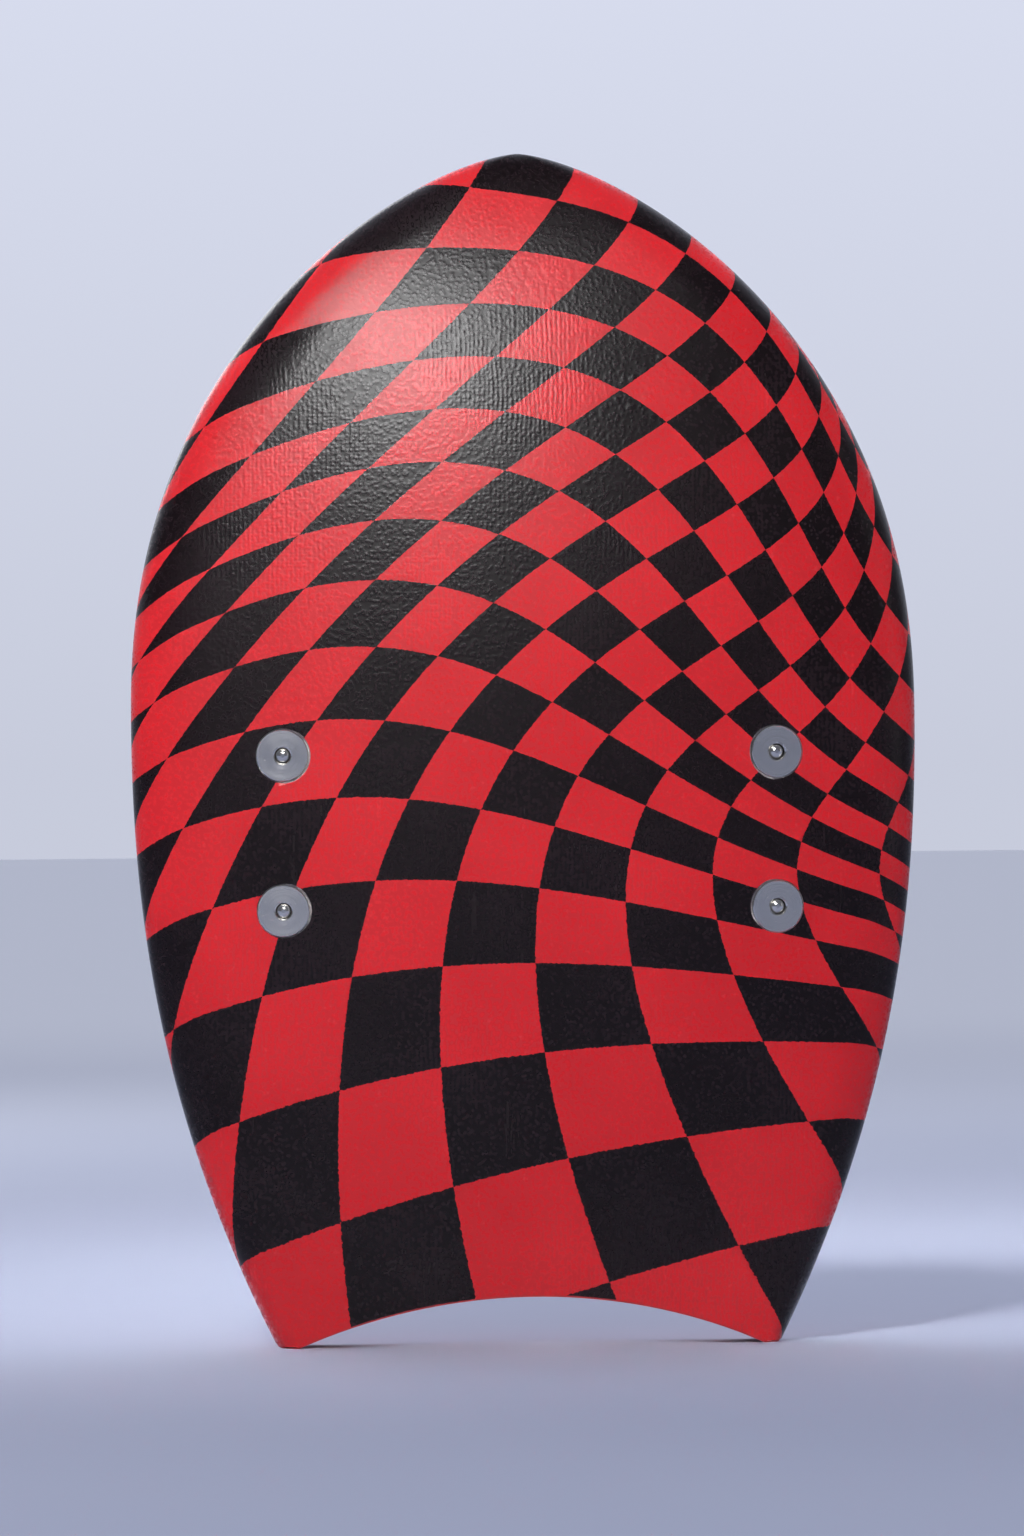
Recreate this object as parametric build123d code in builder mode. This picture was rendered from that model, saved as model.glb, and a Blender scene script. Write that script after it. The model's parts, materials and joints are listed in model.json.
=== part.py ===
"""Handboard: a small hand-strapped bodyboard, standing on the two tips of its crescent tail.

+Z runs from the tail to the nose, +X across the board, and the printed riding bottom
faces -Y.  The deck, with the hand strap on it, faces +Y.  Sizes are in millimetres.
"""

from build123d import *
import os
from math import atan, cos, radians, sin, tan

# ---- Driving dimensions -------------------------------------------------------------

# Plan outline, seen square on to the bottom.
board_length = 378.0
board_width = 250.0
widest_station = 200.0
tail_width = 160.0
tail_fullness = 2.25
nose_fullness = 2.2
nose_roundness = 0.67

# Side view.
board_thickness = 38.0
tail_thickness = 30.0
thickest_station = 170.0
nose_rocker = 17.0
rocker_start = 120.0
stance_lean = 1.6

# Cross-section.
bottom_crown_radius = 555.0
deck_crown_radius = 3000.0
bottom_rail_roll = 24.0
deck_rail_roll = 17.0
tail_rail_roll = 5.0

# Crescent tail.
crescent_depth = 15.8
tail_corner_radius = 8.0
foot_flat_depth = 0.4
tail_sheet = 0.6

# Skins laid over the foam.
skin_thickness = 2.0
parting_height = 0.45

# Strap fixings: two pairs, one each side of the hand.
fixing_span = 157.0
fixing_pitch = 49.0
fixing_station = 163.0
fixing_splay = 5.0
disc_diameter = 16.4
disc_thickness = 1.4
disc_proud = 0.3
disc_recess_gap = 0.3
disc_bevel = 0.35
barrel_diameter = 7.0
barrel_depth = 12.0
screw_diameter = 4.9
screw_head_diameter = 9.4
screw_head_height = 2.4
screw_tip_proud = 0.15
hex_socket_width = 3.0
hex_socket_depth = 1.4
thread_mouth_bevel = 0.5
running_gap = 0.1
tube_wall = 1.0
tube_hole_gap = 0.1

# Clamp plates on the deck.
plate_width = 17.0
plate_overhang = 12.5
plate_thickness = 4.0
plate_corner = 4.0
plate_edge_round = 1.2
head_recess_depth = 2.0
head_recess_gap = 0.4

# Hand strap.
strap_width = 70.0
webbing = 2.2
plate_lift = 1.2
seat_gap = 0.15
riser_gap = 1.8
arch_side_radius = 24.0
arch_side_height = 8.0
arch_side_turn = 42.0
pad_thickness = 4.0
pad_width = 78.0
patch_thickness = 1.2
patch_width = 58.0
bend_radius = 1.6
peel_gap = 0.3
flex_gap = 0.2
pad_end_turn = 88.0
under_end_turn = 40.0
over_end_turn = 44.0
loop_start_turn = 62.0
loop_end_turn = 36.0
hook_start_turn = 42.0
hook_end_turn = 30.0
tab_start_turn = 34.0
tab_end_turn = 60.0
tab_thickness = 1.6
tab_width = 26.0

# Palm pad on the deck.
palm_length = 104.0
palm_gap = 8.0
palm_thickness = 3.0
palm_corner = 16.0
palm_sink = 0.9
palm_groove_width = 2.0
palm_groove_depth = 1.0
palm_groove_pitch = 12.0

# Body construction.
tail_overrun = 14.0
reach = 2 * board_width


# ---- Shape of the board -------------------------------------------------------------


def half_width(z, inset=0.0):
    """Half the width of the plan outline at height z, drawn in by inset."""
    half = board_width / 2 - inset
    if z > widest_station:
        share = (z - widest_station) / (board_length - inset - widest_station)
        return half * (1 - min(share, 1.0) ** nose_fullness) ** nose_roundness
    share = (widest_station - z) / widest_station
    return half - (board_width - tail_width) / 2 * share**tail_fullness


def half_thickness(z, inset=0.0):
    """Half the thickness on the centre line at height z, drawn in by inset."""
    half = board_thickness / 2 - inset
    if z > thickest_station:
        share = (z - thickest_station) / (board_length - inset - thickest_station)
        return half * (1 - min(share, 1.0) ** 3) ** 0.45
    share = (thickest_station - z) / thickest_station
    return half - (board_thickness - tail_thickness) / 2 * share**2


def middle(z):
    """Y of the board's middle surface on the centre line: nose rocker less the lean."""
    share = max(0.0, z - rocker_start) / (board_length - rocker_start)
    return nose_rocker * share**2 - z * tan(radians(stance_lean))


def tail_share(z):
    """1 at the tail, falling to 0 at the thickest station."""
    return min(1.0, max(0.0, 1 - z / thickest_station))


def rail_roll(full_roll, z, inset):
    """How far in from the outline a rail starts to roll: tight at the tail."""
    roll = full_roll + (tail_rail_roll - full_roll) * tail_share(z) ** 1.5
    return min(roll, 0.5 * half_width(z, inset))


def bottom_y(x, z, inset=0.0):
    """Y of the crowned bottom, inside the rails."""
    return middle(z) - half_thickness(z, inset) + x**2 / (2 * bottom_crown_radius)


def deck_y(x, z, inset=0.0):
    """Y of the deck, inside the rails."""
    return middle(z) + half_thickness(z, inset) - x**2 / (2 * deck_crown_radius)


def board_section(z, inset):
    """One cross-section: crowned bottom, flatter deck and two rolled rails."""
    width = half_width(z, inset)
    bottom_x = width - rail_roll(bottom_rail_roll, z, inset)
    deck_x = width - rail_roll(deck_rail_roll, z, inset)
    low = (bottom_x, bottom_y(bottom_x, z, inset))
    high = (deck_x, deck_y(deck_x, z, inset))
    apex = (width, low[1] + (0.5 - 0.12 * tail_share(z)) * (high[1] - low[1]))
    fullness = 0.56
    low_run = fullness * (width - bottom_x)
    high_run = fullness * (width - deck_x)
    low_handle = (bottom_x + low_run, low[1] + low_run * bottom_x / bottom_crown_radius)
    high_handle = (deck_x + high_run, high[1] - high_run * deck_x / deck_crown_radius)
    below_apex = (width, apex[1] - fullness * (apex[1] - low[1]))
    above_apex = (width, apex[1] + fullness * (high[1] - apex[1]))

    def left(point):
        return (-point[0], point[1])

    with BuildSketch(Plane.XY.offset(z)) as section:
        with BuildLine():
            ThreePointArc(left(low), (0, bottom_y(0, z, inset)), low)
            Bezier(low, low_handle, below_apex, apex)
            Bezier(apex, above_apex, high_handle, high)
            ThreePointArc(high, (0, deck_y(0, z, inset)), left(high))
            Bezier(left(high), left(high_handle), left(above_apex), left(apex))
            Bezier(left(apex), left(below_apex), left(low_handle), left(low))
        make_face()
    return section.sketch.face()


def board_hull(inset):
    """The whole board as one solid, running on past the tail so that it can be trimmed."""
    tail_steps = 6
    span = widest_station + tail_overrun
    stations = [span * step / tail_steps - tail_overrun for step in range(tail_steps + 1)]
    nose_run = board_length - inset - widest_station
    for turn in (14, 28, 41, 53, 63, 71.5, 78.5, 83.5, 86, 88):
        stations.append(widest_station + nose_run * sin(radians(turn)))
    with BuildPart() as hull:
        loft(sections=[board_section(z, inset) for z in stations])
    return hull.part


def tail_outline(inset):
    """Everything above the crescent tail, with its two tips rounded, through the board."""
    corner_x = tail_width / 2
    side_slope = (board_width - tail_width) / 2 * tail_fullness / widest_station
    clear = 0.2
    corner_z = -0.35 * tail_corner_radius
    top = board_length + tail_overrun
    bend_z = 40.0
    with BuildSketch(Plane.XZ) as outline:
        with BuildLine():
            ThreePointArc(
                (-corner_x - clear, corner_z),
                (0, crescent_depth),
                (corner_x + clear, corner_z),
            )
            Polyline(
                (corner_x + clear, corner_z),
                (corner_x + clear + side_slope * (bend_z - corner_z), bend_z),
                (board_width, bend_z),
                (board_width, top),
                (-board_width, top),
                (-board_width, bend_z),
                (-corner_x - clear - side_slope * (bend_z - corner_z), bend_z),
                (-corner_x - clear, corner_z),
            )
        make_face()
        tips = outline.vertices().sort_by(Axis.Y)[:2]
        fillet(tips, radius=tail_corner_radius)
        tip_height = outline.sketch.bounding_box().min.Z
        if inset:
            offset(amount=-inset, kind=Kind.TANGENT)
    stand = Location((0, 0, -tip_height - foot_flat_depth))
    with BuildPart() as kept:
        extrude(outline.sketch.moved(stand), amount=reach, both=True)
    return kept.part


def deck_side():
    """Everything on the deck side of the line where the two skins meet on the rails."""
    knots = []
    for step in range(8):
        z = -2 * tail_overrun + (board_length + 4 * tail_overrun) * step / 7
        rise = parting_height * half_thickness(min(z, board_length - 2 * tail_overrun))
        if z > board_length:
            rise = 0.0
        knots.append((middle(z) + rise, z))
    with BuildSketch(Plane.YZ) as side:
        with BuildLine():
            Spline(*knots)
            Polyline(knots[-1], (reach, knots[-1][1]), (reach, knots[0][1]), knots[0])
        make_face()
    with BuildPart() as half:
        extrude(side.sketch, amount=reach, both=True)
    return half.part


# ---- Planes of the fixings and the strap ---------------------------------------------

# The strap plane lies across the board at the fixings: local x across, y out of the deck.
low_fixing = fixing_station - fixing_pitch / 2
high_fixing = fixing_station + fixing_pitch / 2
pitch_angle = atan((middle(high_fixing) - middle(low_fixing)) / fixing_pitch)
up_the_board = Vector(0, sin(pitch_angle), cos(pitch_angle))
out_of_deck = Vector(0, cos(pitch_angle), -sin(pitch_angle))
strap_plane = Plane(
    origin=(0, deck_y(0, fixing_station), fixing_station),
    x_dir=(1, 0, 0),
    z_dir=up_the_board,
)

# One fixing's axis in the strap plane, from the bottom to the underside of the webbing.
splay = radians(fixing_splay)
bottom_x = fixing_span / 2
bottom_level = bottom_y(bottom_x, fixing_station) - deck_y(0, fixing_station)
clamp_level = plate_lift - webbing - bottom_x**2 / (2 * deck_crown_radius)
axis_length = (clamp_level - bottom_level) / cos(splay)
clamp_x = bottom_x - axis_length * sin(splay)

sides = {"left": -1, "right": 1}
rows = {"rear": -1, "front": 1}


def fixing_plane(side, row):
    """Plane on the bottom at one fixing: z_dir out of the bottom, x_dir to the nose."""
    outward = Vector(side * sin(splay), 0, 0) - out_of_deck * cos(splay)
    local = Vector(side * bottom_x, bottom_level, row * fixing_pitch / 2)
    origin = strap_plane.from_local_coords(local)
    return Plane(origin=origin, x_dir=up_the_board, z_dir=outward)


def clamp_plane(side, height=0.0):
    """Plane under one strap clamp: z_dir out of the deck, x_dir to the nose."""
    inward = out_of_deck * cos(splay) - Vector(side * sin(splay), 0, 0)
    origin = strap_plane.from_local_coords(Vector(side * clamp_x, clamp_level, 0))
    return Plane(origin=origin + inward * height, x_dir=up_the_board, z_dir=inward)


fixings = {
    f"{side_name}_{row_name}": fixing_plane(side, row)
    for side_name, side in sides.items()
    for row_name, row in rows.items()
}

disc_back = disc_proud - disc_thickness
screw_radius = screw_diameter / 2
nut_bore = screw_radius + running_gap
tube_bore = barrel_diameter / 2 + running_gap
tube_radius = tube_bore + tube_wall
tube_hole = tube_radius + tube_hole_gap
head_seat = webbing + plate_thickness - head_recess_depth


def cylinder_on(plane, radius, start, end):
    """A round bar on a plane's z axis, from one height to another."""
    with BuildSketch(plane.offset(start)) as disc:
        Circle(radius)
    with BuildPart() as bar:
        extrude(disc.sketch, amount=end - start, dir=plane.z_dir)
    return bar.part


# ---- Strap profiles -------------------------------------------------------------------

# Levels of the layers above the arch's inner face.
under_level = pad_thickness
loop_level = under_level + webbing
hook_level = loop_level + patch_thickness + peel_gap
over_level = hook_level + patch_thickness
tab_level = over_level + webbing
anchor_levels = {-1: under_level, 1: over_level}

# The arch is as wide as the clamp plates leave room for, and the palm pad fits inside it.
plate_length = fixing_pitch + 2 * plate_overhang
plate_reach = plate_width / 2 * cos(splay) + (webbing + plate_thickness) * sin(splay)
arch_half_width = clamp_x - plate_reach - riser_gap - tab_level
palm_width = 2 * (arch_half_width - palm_gap)
side_centre_x = arch_half_width - arch_side_radius
crown_reach = side_centre_x / sin(radians(arch_side_turn))
crown_centre_y = arch_side_height - crown_reach * cos(radians(arch_side_turn))


def arch_path(level, start_turn, end_turn):
    """Line along the arch at one level.  Turns run from 0 at the crown, right positive."""
    radius = arch_side_radius + level
    left_turn = max(-arch_side_turn, start_turn)
    right_turn = min(arch_side_turn, end_turn)
    if start_turn < -arch_side_turn:
        span = -arch_side_turn - start_turn
        CenterArc((-side_centre_x, arch_side_height), radius, 90 - start_turn, -span)
    if right_turn > left_turn:
        CenterArc(
            (0, crown_centre_y), radius + crown_reach, 90 - left_turn, left_turn - right_turn
        )
    if end_turn > arch_side_turn:
        span = end_turn - arch_side_turn
        CenterArc((side_centre_x, arch_side_height), radius, 90 - arch_side_turn, -span)


def arch_band(level, thickness, start_turn, end_turn, width):
    """One layer of the strap: a band along the arch, centred on the fixings."""
    with BuildSketch(strap_plane) as band:
        with BuildLine():
            arch_path(level + thickness / 2, start_turn, end_turn)
        trace(line_width=thickness)
    with BuildPart() as layer:
        extrude(band.sketch, amount=width / 2, both=True)
    return layer.part


def anchor_band(side, level):
    """Webbing under one clamp: flat beneath the plate, then turned up to the arch."""
    riser_x = arch_half_width + level + webbing / 2
    outboard = clamp_x + plate_width / 2
    leg_height = clamp_level + webbing / 2 / cos(splay)
    lift = (outboard - clamp_x) * tan(splay)
    corner = leg_height - (clamp_x - riser_x) * tan(splay)
    riser_top = arch_side_height - webbing / 2 - flex_gap
    with BuildSketch(strap_plane) as band:
        with BuildLine():
            FilletPolyline(
                (side * outboard, leg_height + lift),
                (side * riser_x, corner),
                (side * riser_x, riser_top),
                radius=bend_radius + webbing / 2,
            )
        trace(line_width=webbing)
    with BuildPart() as anchor:
        extrude(band.sketch, amount=strap_width / 2, both=True)
    return anchor.part


def clamp_footprint(side):
    """The seat that one anchor and its plate press into the deck."""
    with BuildSketch(clamp_plane(side)) as seat:
        Rectangle(plate_length + 2 * seat_gap, plate_width + 2 * seat_gap)
    with BuildPart() as block:
        extrude(seat.sketch, amount=plate_thickness)
    return block.part


def palm_sketch(height, margin=0.0):
    """Outline of the palm pad at a height above the deck."""
    plane = Plane(
        origin=strap_plane.origin + out_of_deck * height,
        x_dir=(1, 0, 0),
        z_dir=out_of_deck,
    )
    with BuildSketch(plane) as outline:
        RectangleRounded(palm_width + 2 * margin, palm_length + 2 * margin, palm_corner)
    return outline.sketch


def pierced(part):
    """A board layer with the four tube holes cut through it."""
    with BuildPart() as layer:
        add(part)
        for plane in fixings.values():
            add(
                cylinder_on(plane, tube_hole, -2 * board_thickness, board_thickness),
                mode=Mode.SUBTRACT,
            )
    return layer.part


# ---- Board ----------------------------------------------------------------------------

outer_hull = board_hull(0)
inner_hull = board_hull(skin_thickness)
above_tail = tail_outline(0)
above_sheet = tail_outline(tail_sheet)
deck_half = deck_side()

with BuildPart() as foam_core:
    add(pierced(inner_hull))
    add(above_sheet, mode=Mode.INTERSECT)
    for side, level in anchor_levels.items():
        add(anchor_band(side, level), mode=Mode.SUBTRACT)

with BuildPart() as skins:
    add(outer_hull)
    add(inner_hull, mode=Mode.SUBTRACT)
    add(above_sheet, mode=Mode.INTERSECT)

with BuildPart() as bottom_skin:
    add(pierced(skins.part))
    add(deck_half, mode=Mode.SUBTRACT)
    for plane in fixings.values():
        add(
            cylinder_on(plane, disc_diameter / 2 + disc_recess_gap, disc_back, board_thickness),
            mode=Mode.SUBTRACT,
        )

with BuildPart() as deck_skin:
    add(pierced(skins.part))
    add(deck_half, mode=Mode.INTERSECT)
    for side, level in anchor_levels.items():
        add(clamp_footprint(side), mode=Mode.SUBTRACT)
        add(anchor_band(side, level), mode=Mode.SUBTRACT)
    extrude(palm_sketch(-palm_sink, seat_gap), amount=palm_thickness, mode=Mode.SUBTRACT)

with BuildPart() as tail_panel:
    add(outer_hull)
    add(above_tail, mode=Mode.INTERSECT)
    add(above_sheet, mode=Mode.SUBTRACT)
    split(bisect_by=Plane.XY, keep=Keep.TOP)

# ---- Palm pad -------------------------------------------------------------------------

with BuildPart() as palm_pad:
    extrude(palm_sketch(-palm_sink), amount=palm_thickness)
    groove_count = int(palm_length / palm_groove_pitch / 2 - 1)
    with BuildSketch(
        Plane(
            origin=strap_plane.origin + out_of_deck * (palm_thickness - palm_sink),
            x_dir=(1, 0, 0),
            z_dir=out_of_deck,
        )
    ):
        with GridLocations(0, palm_groove_pitch, 1, 2 * groove_count + 1):
            Rectangle(2 * palm_width, palm_groove_width)
    extrude(amount=-palm_groove_depth, mode=Mode.SUBTRACT)

pieces = {
    "foam_core": foam_core.part,
    "bottom_skin": bottom_skin.part,
    "deck_skin": deck_skin.part,
    "tail_panel": tail_panel.part,
    "palm_pad": palm_pad.part,
}

# ---- Fixings: flange nut, spacer tube and clamp screw at each corner ------------------

for name, plane in fixings.items():
    with BuildPart() as flange_nut:
        with BuildSketch(plane.offset(disc_back)):
            Circle(disc_diameter / 2)
        extrude(amount=disc_thickness)
        rim = flange_nut.faces().sort_by(Axis(plane.origin, plane.z_dir))[-1]
        chamfer(rim.edges(), length=disc_bevel)
        with BuildSketch(plane.offset(disc_back)):
            Circle(barrel_diameter / 2)
        extrude(amount=-barrel_depth)
        add(
            cylinder_on(plane, nut_bore, -barrel_depth - disc_thickness, disc_thickness),
            mode=Mode.SUBTRACT,
        )
        face = flange_nut.faces().sort_by(Axis(plane.origin, plane.z_dir))[-1]
        mouth = face.edges().sort_by(SortBy.LENGTH)[0]
        chamfer(mouth, length=thread_mouth_bevel)

    with BuildPart() as spacer_tube:
        with BuildSketch(plane.offset(disc_back)):
            Circle(tube_radius)
            Circle(tube_bore, mode=Mode.SUBTRACT)
        extrude(amount=-(axis_length + disc_back))

    with BuildPart() as clamp_screw:
        with BuildSketch(plane.offset(screw_tip_proud)):
            Circle(screw_radius)
        extrude(amount=-(axis_length + head_seat + screw_tip_proud))
        tip = clamp_screw.faces().sort_by(Axis(plane.origin, plane.z_dir))[-1]
        fillet(tip.edges(), radius=0.75 * screw_radius)
        with BuildSketch(plane.offset(-(axis_length + head_seat))):
            Circle(screw_head_diameter / 2)
        extrude(amount=-screw_head_height)
        crown = clamp_screw.faces().sort_by(Axis(plane.origin, plane.z_dir))[0]
        fillet(crown.edges(), radius=screw_head_height / 2)
        with BuildSketch(plane.offset(-(axis_length + head_seat + screw_head_height))):
            RegularPolygon(hex_socket_width / 2, 6, major_radius=False)
        extrude(amount=hex_socket_depth, mode=Mode.SUBTRACT)

    pieces[f"flange_nut_{name}"] = flange_nut.part
    pieces[f"spacer_tube_{name}"] = spacer_tube.part
    pieces[f"clamp_screw_{name}"] = clamp_screw.part

# ---- Clamp plates and anchored webbing ------------------------------------------------

for side_name, side in sides.items():
    base = clamp_plane(side, webbing)
    with BuildPart() as clamp_plate:
        with BuildSketch(base):
            RectangleRounded(plate_length, plate_width, plate_corner)
        extrude(amount=plate_thickness)
        top = clamp_plate.faces().sort_by(Axis(base.origin, base.z_dir))[-1]
        fillet(top.edges(), radius=plate_edge_round)
        with BuildSketch(base.offset(plate_thickness)):
            with GridLocations(fixing_pitch, 0, 2, 1):
                Circle(screw_head_diameter / 2 + head_recess_gap)
        extrude(amount=-head_recess_depth, mode=Mode.SUBTRACT)
        with BuildSketch(base):
            with GridLocations(fixing_pitch, 0, 2, 1):
                Circle(screw_radius + running_gap)
        extrude(amount=plate_thickness, mode=Mode.SUBTRACT)

    with BuildPart() as strap_anchor:
        add(anchor_band(side, anchor_levels[side]))
        with BuildSketch(clamp_plane(side, -webbing)):
            with GridLocations(fixing_pitch, 0, 2, 1):
                Circle(screw_radius + running_gap)
        extrude(amount=3 * webbing, mode=Mode.SUBTRACT)

    pieces[f"clamp_plate_{side_name}"] = clamp_plate.part
    pieces[f"strap_anchor_{side_name}"] = strap_anchor.part

# ---- Strap: two halves that overlap over the hand, closed by hook and loop ------------

pieces["strap_pad"] = arch_band(0, pad_thickness, -pad_end_turn, pad_end_turn, pad_width)
pieces["strap_under"] = arch_band(under_level, webbing, -90, under_end_turn, strap_width)
pieces["loop_patch"] = arch_band(
    loop_level, patch_thickness, -loop_start_turn, loop_end_turn, patch_width
)
pieces["hook_patch"] = arch_band(
    hook_level, patch_thickness, -hook_start_turn, hook_end_turn, patch_width
)
pieces["strap_over"] = arch_band(over_level, webbing, -over_end_turn, 90, strap_width)
pieces["pull_tab"] = arch_band(
    tab_level, tab_thickness, -tab_end_turn, -tab_start_turn, tab_width
)

# ---- Stand the board with the frame's origin in the middle of its base ----------------

front = min(piece.bounding_box().min.Y for piece in pieces.values())
back = max(piece.bounding_box().max.Y for piece in pieces.values())
setback = -(front + back) / 2
os.makedirs("parts", exist_ok=True)
for name, piece in pieces.items():
    placed = piece.moved(Location((0, setback, 0)))
    placed.label = name
    export_step(placed, f"parts/{name}.step")
    low, high = placed.bounding_box().min, placed.bounding_box().max
    print(f"{name}: {low.X:.2f} {low.Y:.2f} {low.Z:.2f} to {high.X:.2f} {high.Y:.2f} {high.Z:.2f}")

for side_name, side in sides.items():
    riser_x = arch_half_width + anchor_levels[side] + webbing / 2
    hinge = strap_plane.from_local_coords(Vector(side * riser_x, arch_side_height, 0))
    hinge = hinge + Vector(0, setback, 0)
    print(f"{side_name} strap hinge: {hinge.X:.3f} {hinge.Y:.3f} {hinge.Z:.3f}, along {up_the_board}")
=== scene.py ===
"""Hand-strapped bodyboard: skins, print, strap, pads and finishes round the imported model.

Everything is in metres in the model's own frame: +Z from the tail to the nose, +X across
the board, the printed riding bottom facing -Y and the deck with its strap facing +Y.
"""

import json
from math import comb, cos, pi, radians, sin, sqrt, tan

import bmesh
import bpy
import numpy as np
from mathutils import Matrix, Vector


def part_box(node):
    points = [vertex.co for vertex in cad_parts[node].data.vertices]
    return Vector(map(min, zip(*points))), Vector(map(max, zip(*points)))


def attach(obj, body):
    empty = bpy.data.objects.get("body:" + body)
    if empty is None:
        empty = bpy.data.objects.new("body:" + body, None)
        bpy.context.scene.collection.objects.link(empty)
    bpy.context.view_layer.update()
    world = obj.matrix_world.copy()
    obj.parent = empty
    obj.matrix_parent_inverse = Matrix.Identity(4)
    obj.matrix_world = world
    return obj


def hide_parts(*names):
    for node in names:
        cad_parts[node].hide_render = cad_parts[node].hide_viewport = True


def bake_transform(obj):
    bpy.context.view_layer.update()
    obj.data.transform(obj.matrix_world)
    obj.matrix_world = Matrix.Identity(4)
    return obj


bl_info = {
    "name": "Hand-strapped bodyboard",
    "version": (1, 0, 0),
    "blender": (4, 5, 0),
    "location": "3D View > Sidebar > Bodyboard",
    "description": "Builds the bodyboard's skins, print, strap and studio round its frame",
    "category": "Object",
}

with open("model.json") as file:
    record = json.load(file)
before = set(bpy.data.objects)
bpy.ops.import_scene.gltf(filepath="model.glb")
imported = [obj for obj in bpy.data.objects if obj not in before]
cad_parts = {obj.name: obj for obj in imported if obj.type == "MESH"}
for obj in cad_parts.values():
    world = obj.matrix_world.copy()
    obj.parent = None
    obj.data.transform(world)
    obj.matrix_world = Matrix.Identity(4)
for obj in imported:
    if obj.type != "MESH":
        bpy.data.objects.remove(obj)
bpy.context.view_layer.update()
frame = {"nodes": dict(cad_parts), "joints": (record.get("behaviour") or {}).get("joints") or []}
nodes = frame["nodes"]
joints = {joint["name"]: joint for joint in frame["joints"]}
mm = 0.001

# ---- Sizes and colours ------------------------------------------------------------------


def length(name, description, default):
    """A size in metres, shown in the panel in the scene's units."""
    return bpy.props.FloatProperty(
        name=name, description=description, default=default, unit="LENGTH", precision=5
    )


def number(name, description, default):
    """A plain ratio or count per metre."""
    return bpy.props.FloatProperty(name=name, description=description, default=default)


def colour(name, description, default):
    """A linear colour."""
    return bpy.props.FloatVectorProperty(
        name=name, description=description, default=default, subtype="COLOR", min=0, max=1
    )


class BoardShape(bpy.types.PropertyGroup):
    """Outline, side view and cross-section of the board."""

    height: length("Length", "Tail tips to nose", 0.378)
    width: length("Width", "Widest part of the outline", 0.25)
    widest: length("Widest station", "Height of the widest part", 0.2)
    tail_width: length("Tail width", "Outline's width at the tips", 0.16)
    tail_fullness: number("Tail fullness", "How late the outline draws in to the tail", 2.25)
    nose_fullness: number("Nose fullness", "How late the outline draws in to the nose", 2.2)
    nose_roundness: number("Nose roundness", "Lower is blunter", 0.67)
    thickness: length("Thickness", "At the thickest station", 0.038)
    tail_thickness: length("Tail thickness", "On the centre line at the tail", 0.03)
    thickest: length("Thickest station", "Height of the thickest part", 0.17)
    rocker: length("Nose rocker", "How far the nose lifts", 0.017)
    rocker_start: length("Rocker start", "Height where the nose starts to lift", 0.12)
    lean: number("Lean", "Degrees that the standing board leans", 1.6)
    bottom_crown: length("Bottom crown", "Radius across the bottom", 0.555)
    deck_crown: length("Deck crown", "Radius across the deck", 3.0)
    bottom_roll: length("Bottom rail roll", "Width of the roll on the bottom", 0.024)
    deck_roll: length("Deck rail roll", "Width of the roll on the deck", 0.017)
    tail_roll: length("Tail rail roll", "Width of both rolls at the tail", 0.005)
    crescent: length("Crescent depth", "How far the tail is hollowed", 0.0158)
    tip_radius: length("Tip radius", "Rounding of the two tail tips", 0.008)
    tip_flat: length("Tip flat", "How much the tips are flattened to stand", 0.0004)
    sheet: length("Tail sheet", "Thickness of the sheet over the tail", 0.0006)
    skin: length("Skin", "Thickness of both skins", 0.002)
    parting: number("Parting", "Where the skins meet, as a share of half the thickness", 0.45)
    groove: length("Seam groove", "Depth of the groove where the skins meet", 0.00035)


class FixingSizes(bpy.types.PropertyGroup):
    """Places of the four strap fixings."""

    station: length("Station", "Height of the strap's middle", 0.163)
    span: length("Span", "Between the two pairs, on the bottom", 0.157)
    pitch: length("Pitch", "Between the fixings of a pair", 0.049)
    splay: number("Splay", "Degrees that each fixing leans out", 5.0)
    recess: length("Recess radius", "Round recess in the skin for a disc", 0.0085)
    recess_lip: length("Recess lip", "Rounding of the recess's rim", 0.00035)
    plate_lift: length("Plate lift", "Underside of a clamp plate above the deck", 0.0012)
    plate_width: length("Plate width", "Across the board", 0.017)
    plate_length: length("Plate length", "Along the board", 0.074)


class StrapSizes(bpy.types.PropertyGroup):
    """Layers of the hand strap."""

    webbing: length("Webbing", "Thickness of the webbing", 0.0022)
    width: length("Width", "Width of the webbing", 0.07)
    pad: length("Pad", "Thickness of the soft pad", 0.004)
    pad_width: length("Pad width", "Width of the soft pad", 0.078)
    patch: length("Patch", "Thickness of each fastening patch", 0.0012)
    patch_width: length("Patch width", "Width of the fastening patches", 0.058)
    peel_gap: length("Peel gap", "Between the two patches", 0.0003)
    side_height: length("Side height", "Height of the arch's side centres", 0.008)
    side_radius: length("Side radius", "Inner radius of the arch's sides", 0.024)
    side_turn: number("Side turn", "Degrees from the crown where the sides begin", 42.0)
    tab: length("Tab", "Thickness of the pull tab", 0.0016)
    tab_width: length("Tab width", "Width of the pull tab", 0.026)
    stitch: length("Stitch", "Length of one stitch", 0.0026)
    thread: length("Thread", "Thickness of the thread", 0.00055)
    palm_width: length("Palm pad width", "Across the board", 0.0919)
    palm_length: length("Palm pad length", "Along the board", 0.104)
    palm_corner: length("Palm pad corner", "Corner radius", 0.016)
    palm_rise: length("Palm pad rise", "Top of the palm pad above the deck", 0.0021)
    palm_thickness: length("Palm pad thickness", "Whole thickness of the pad", 0.003)
    palm_pitch: length("Palm groove pitch", "Between the grooves", 0.012)


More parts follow.
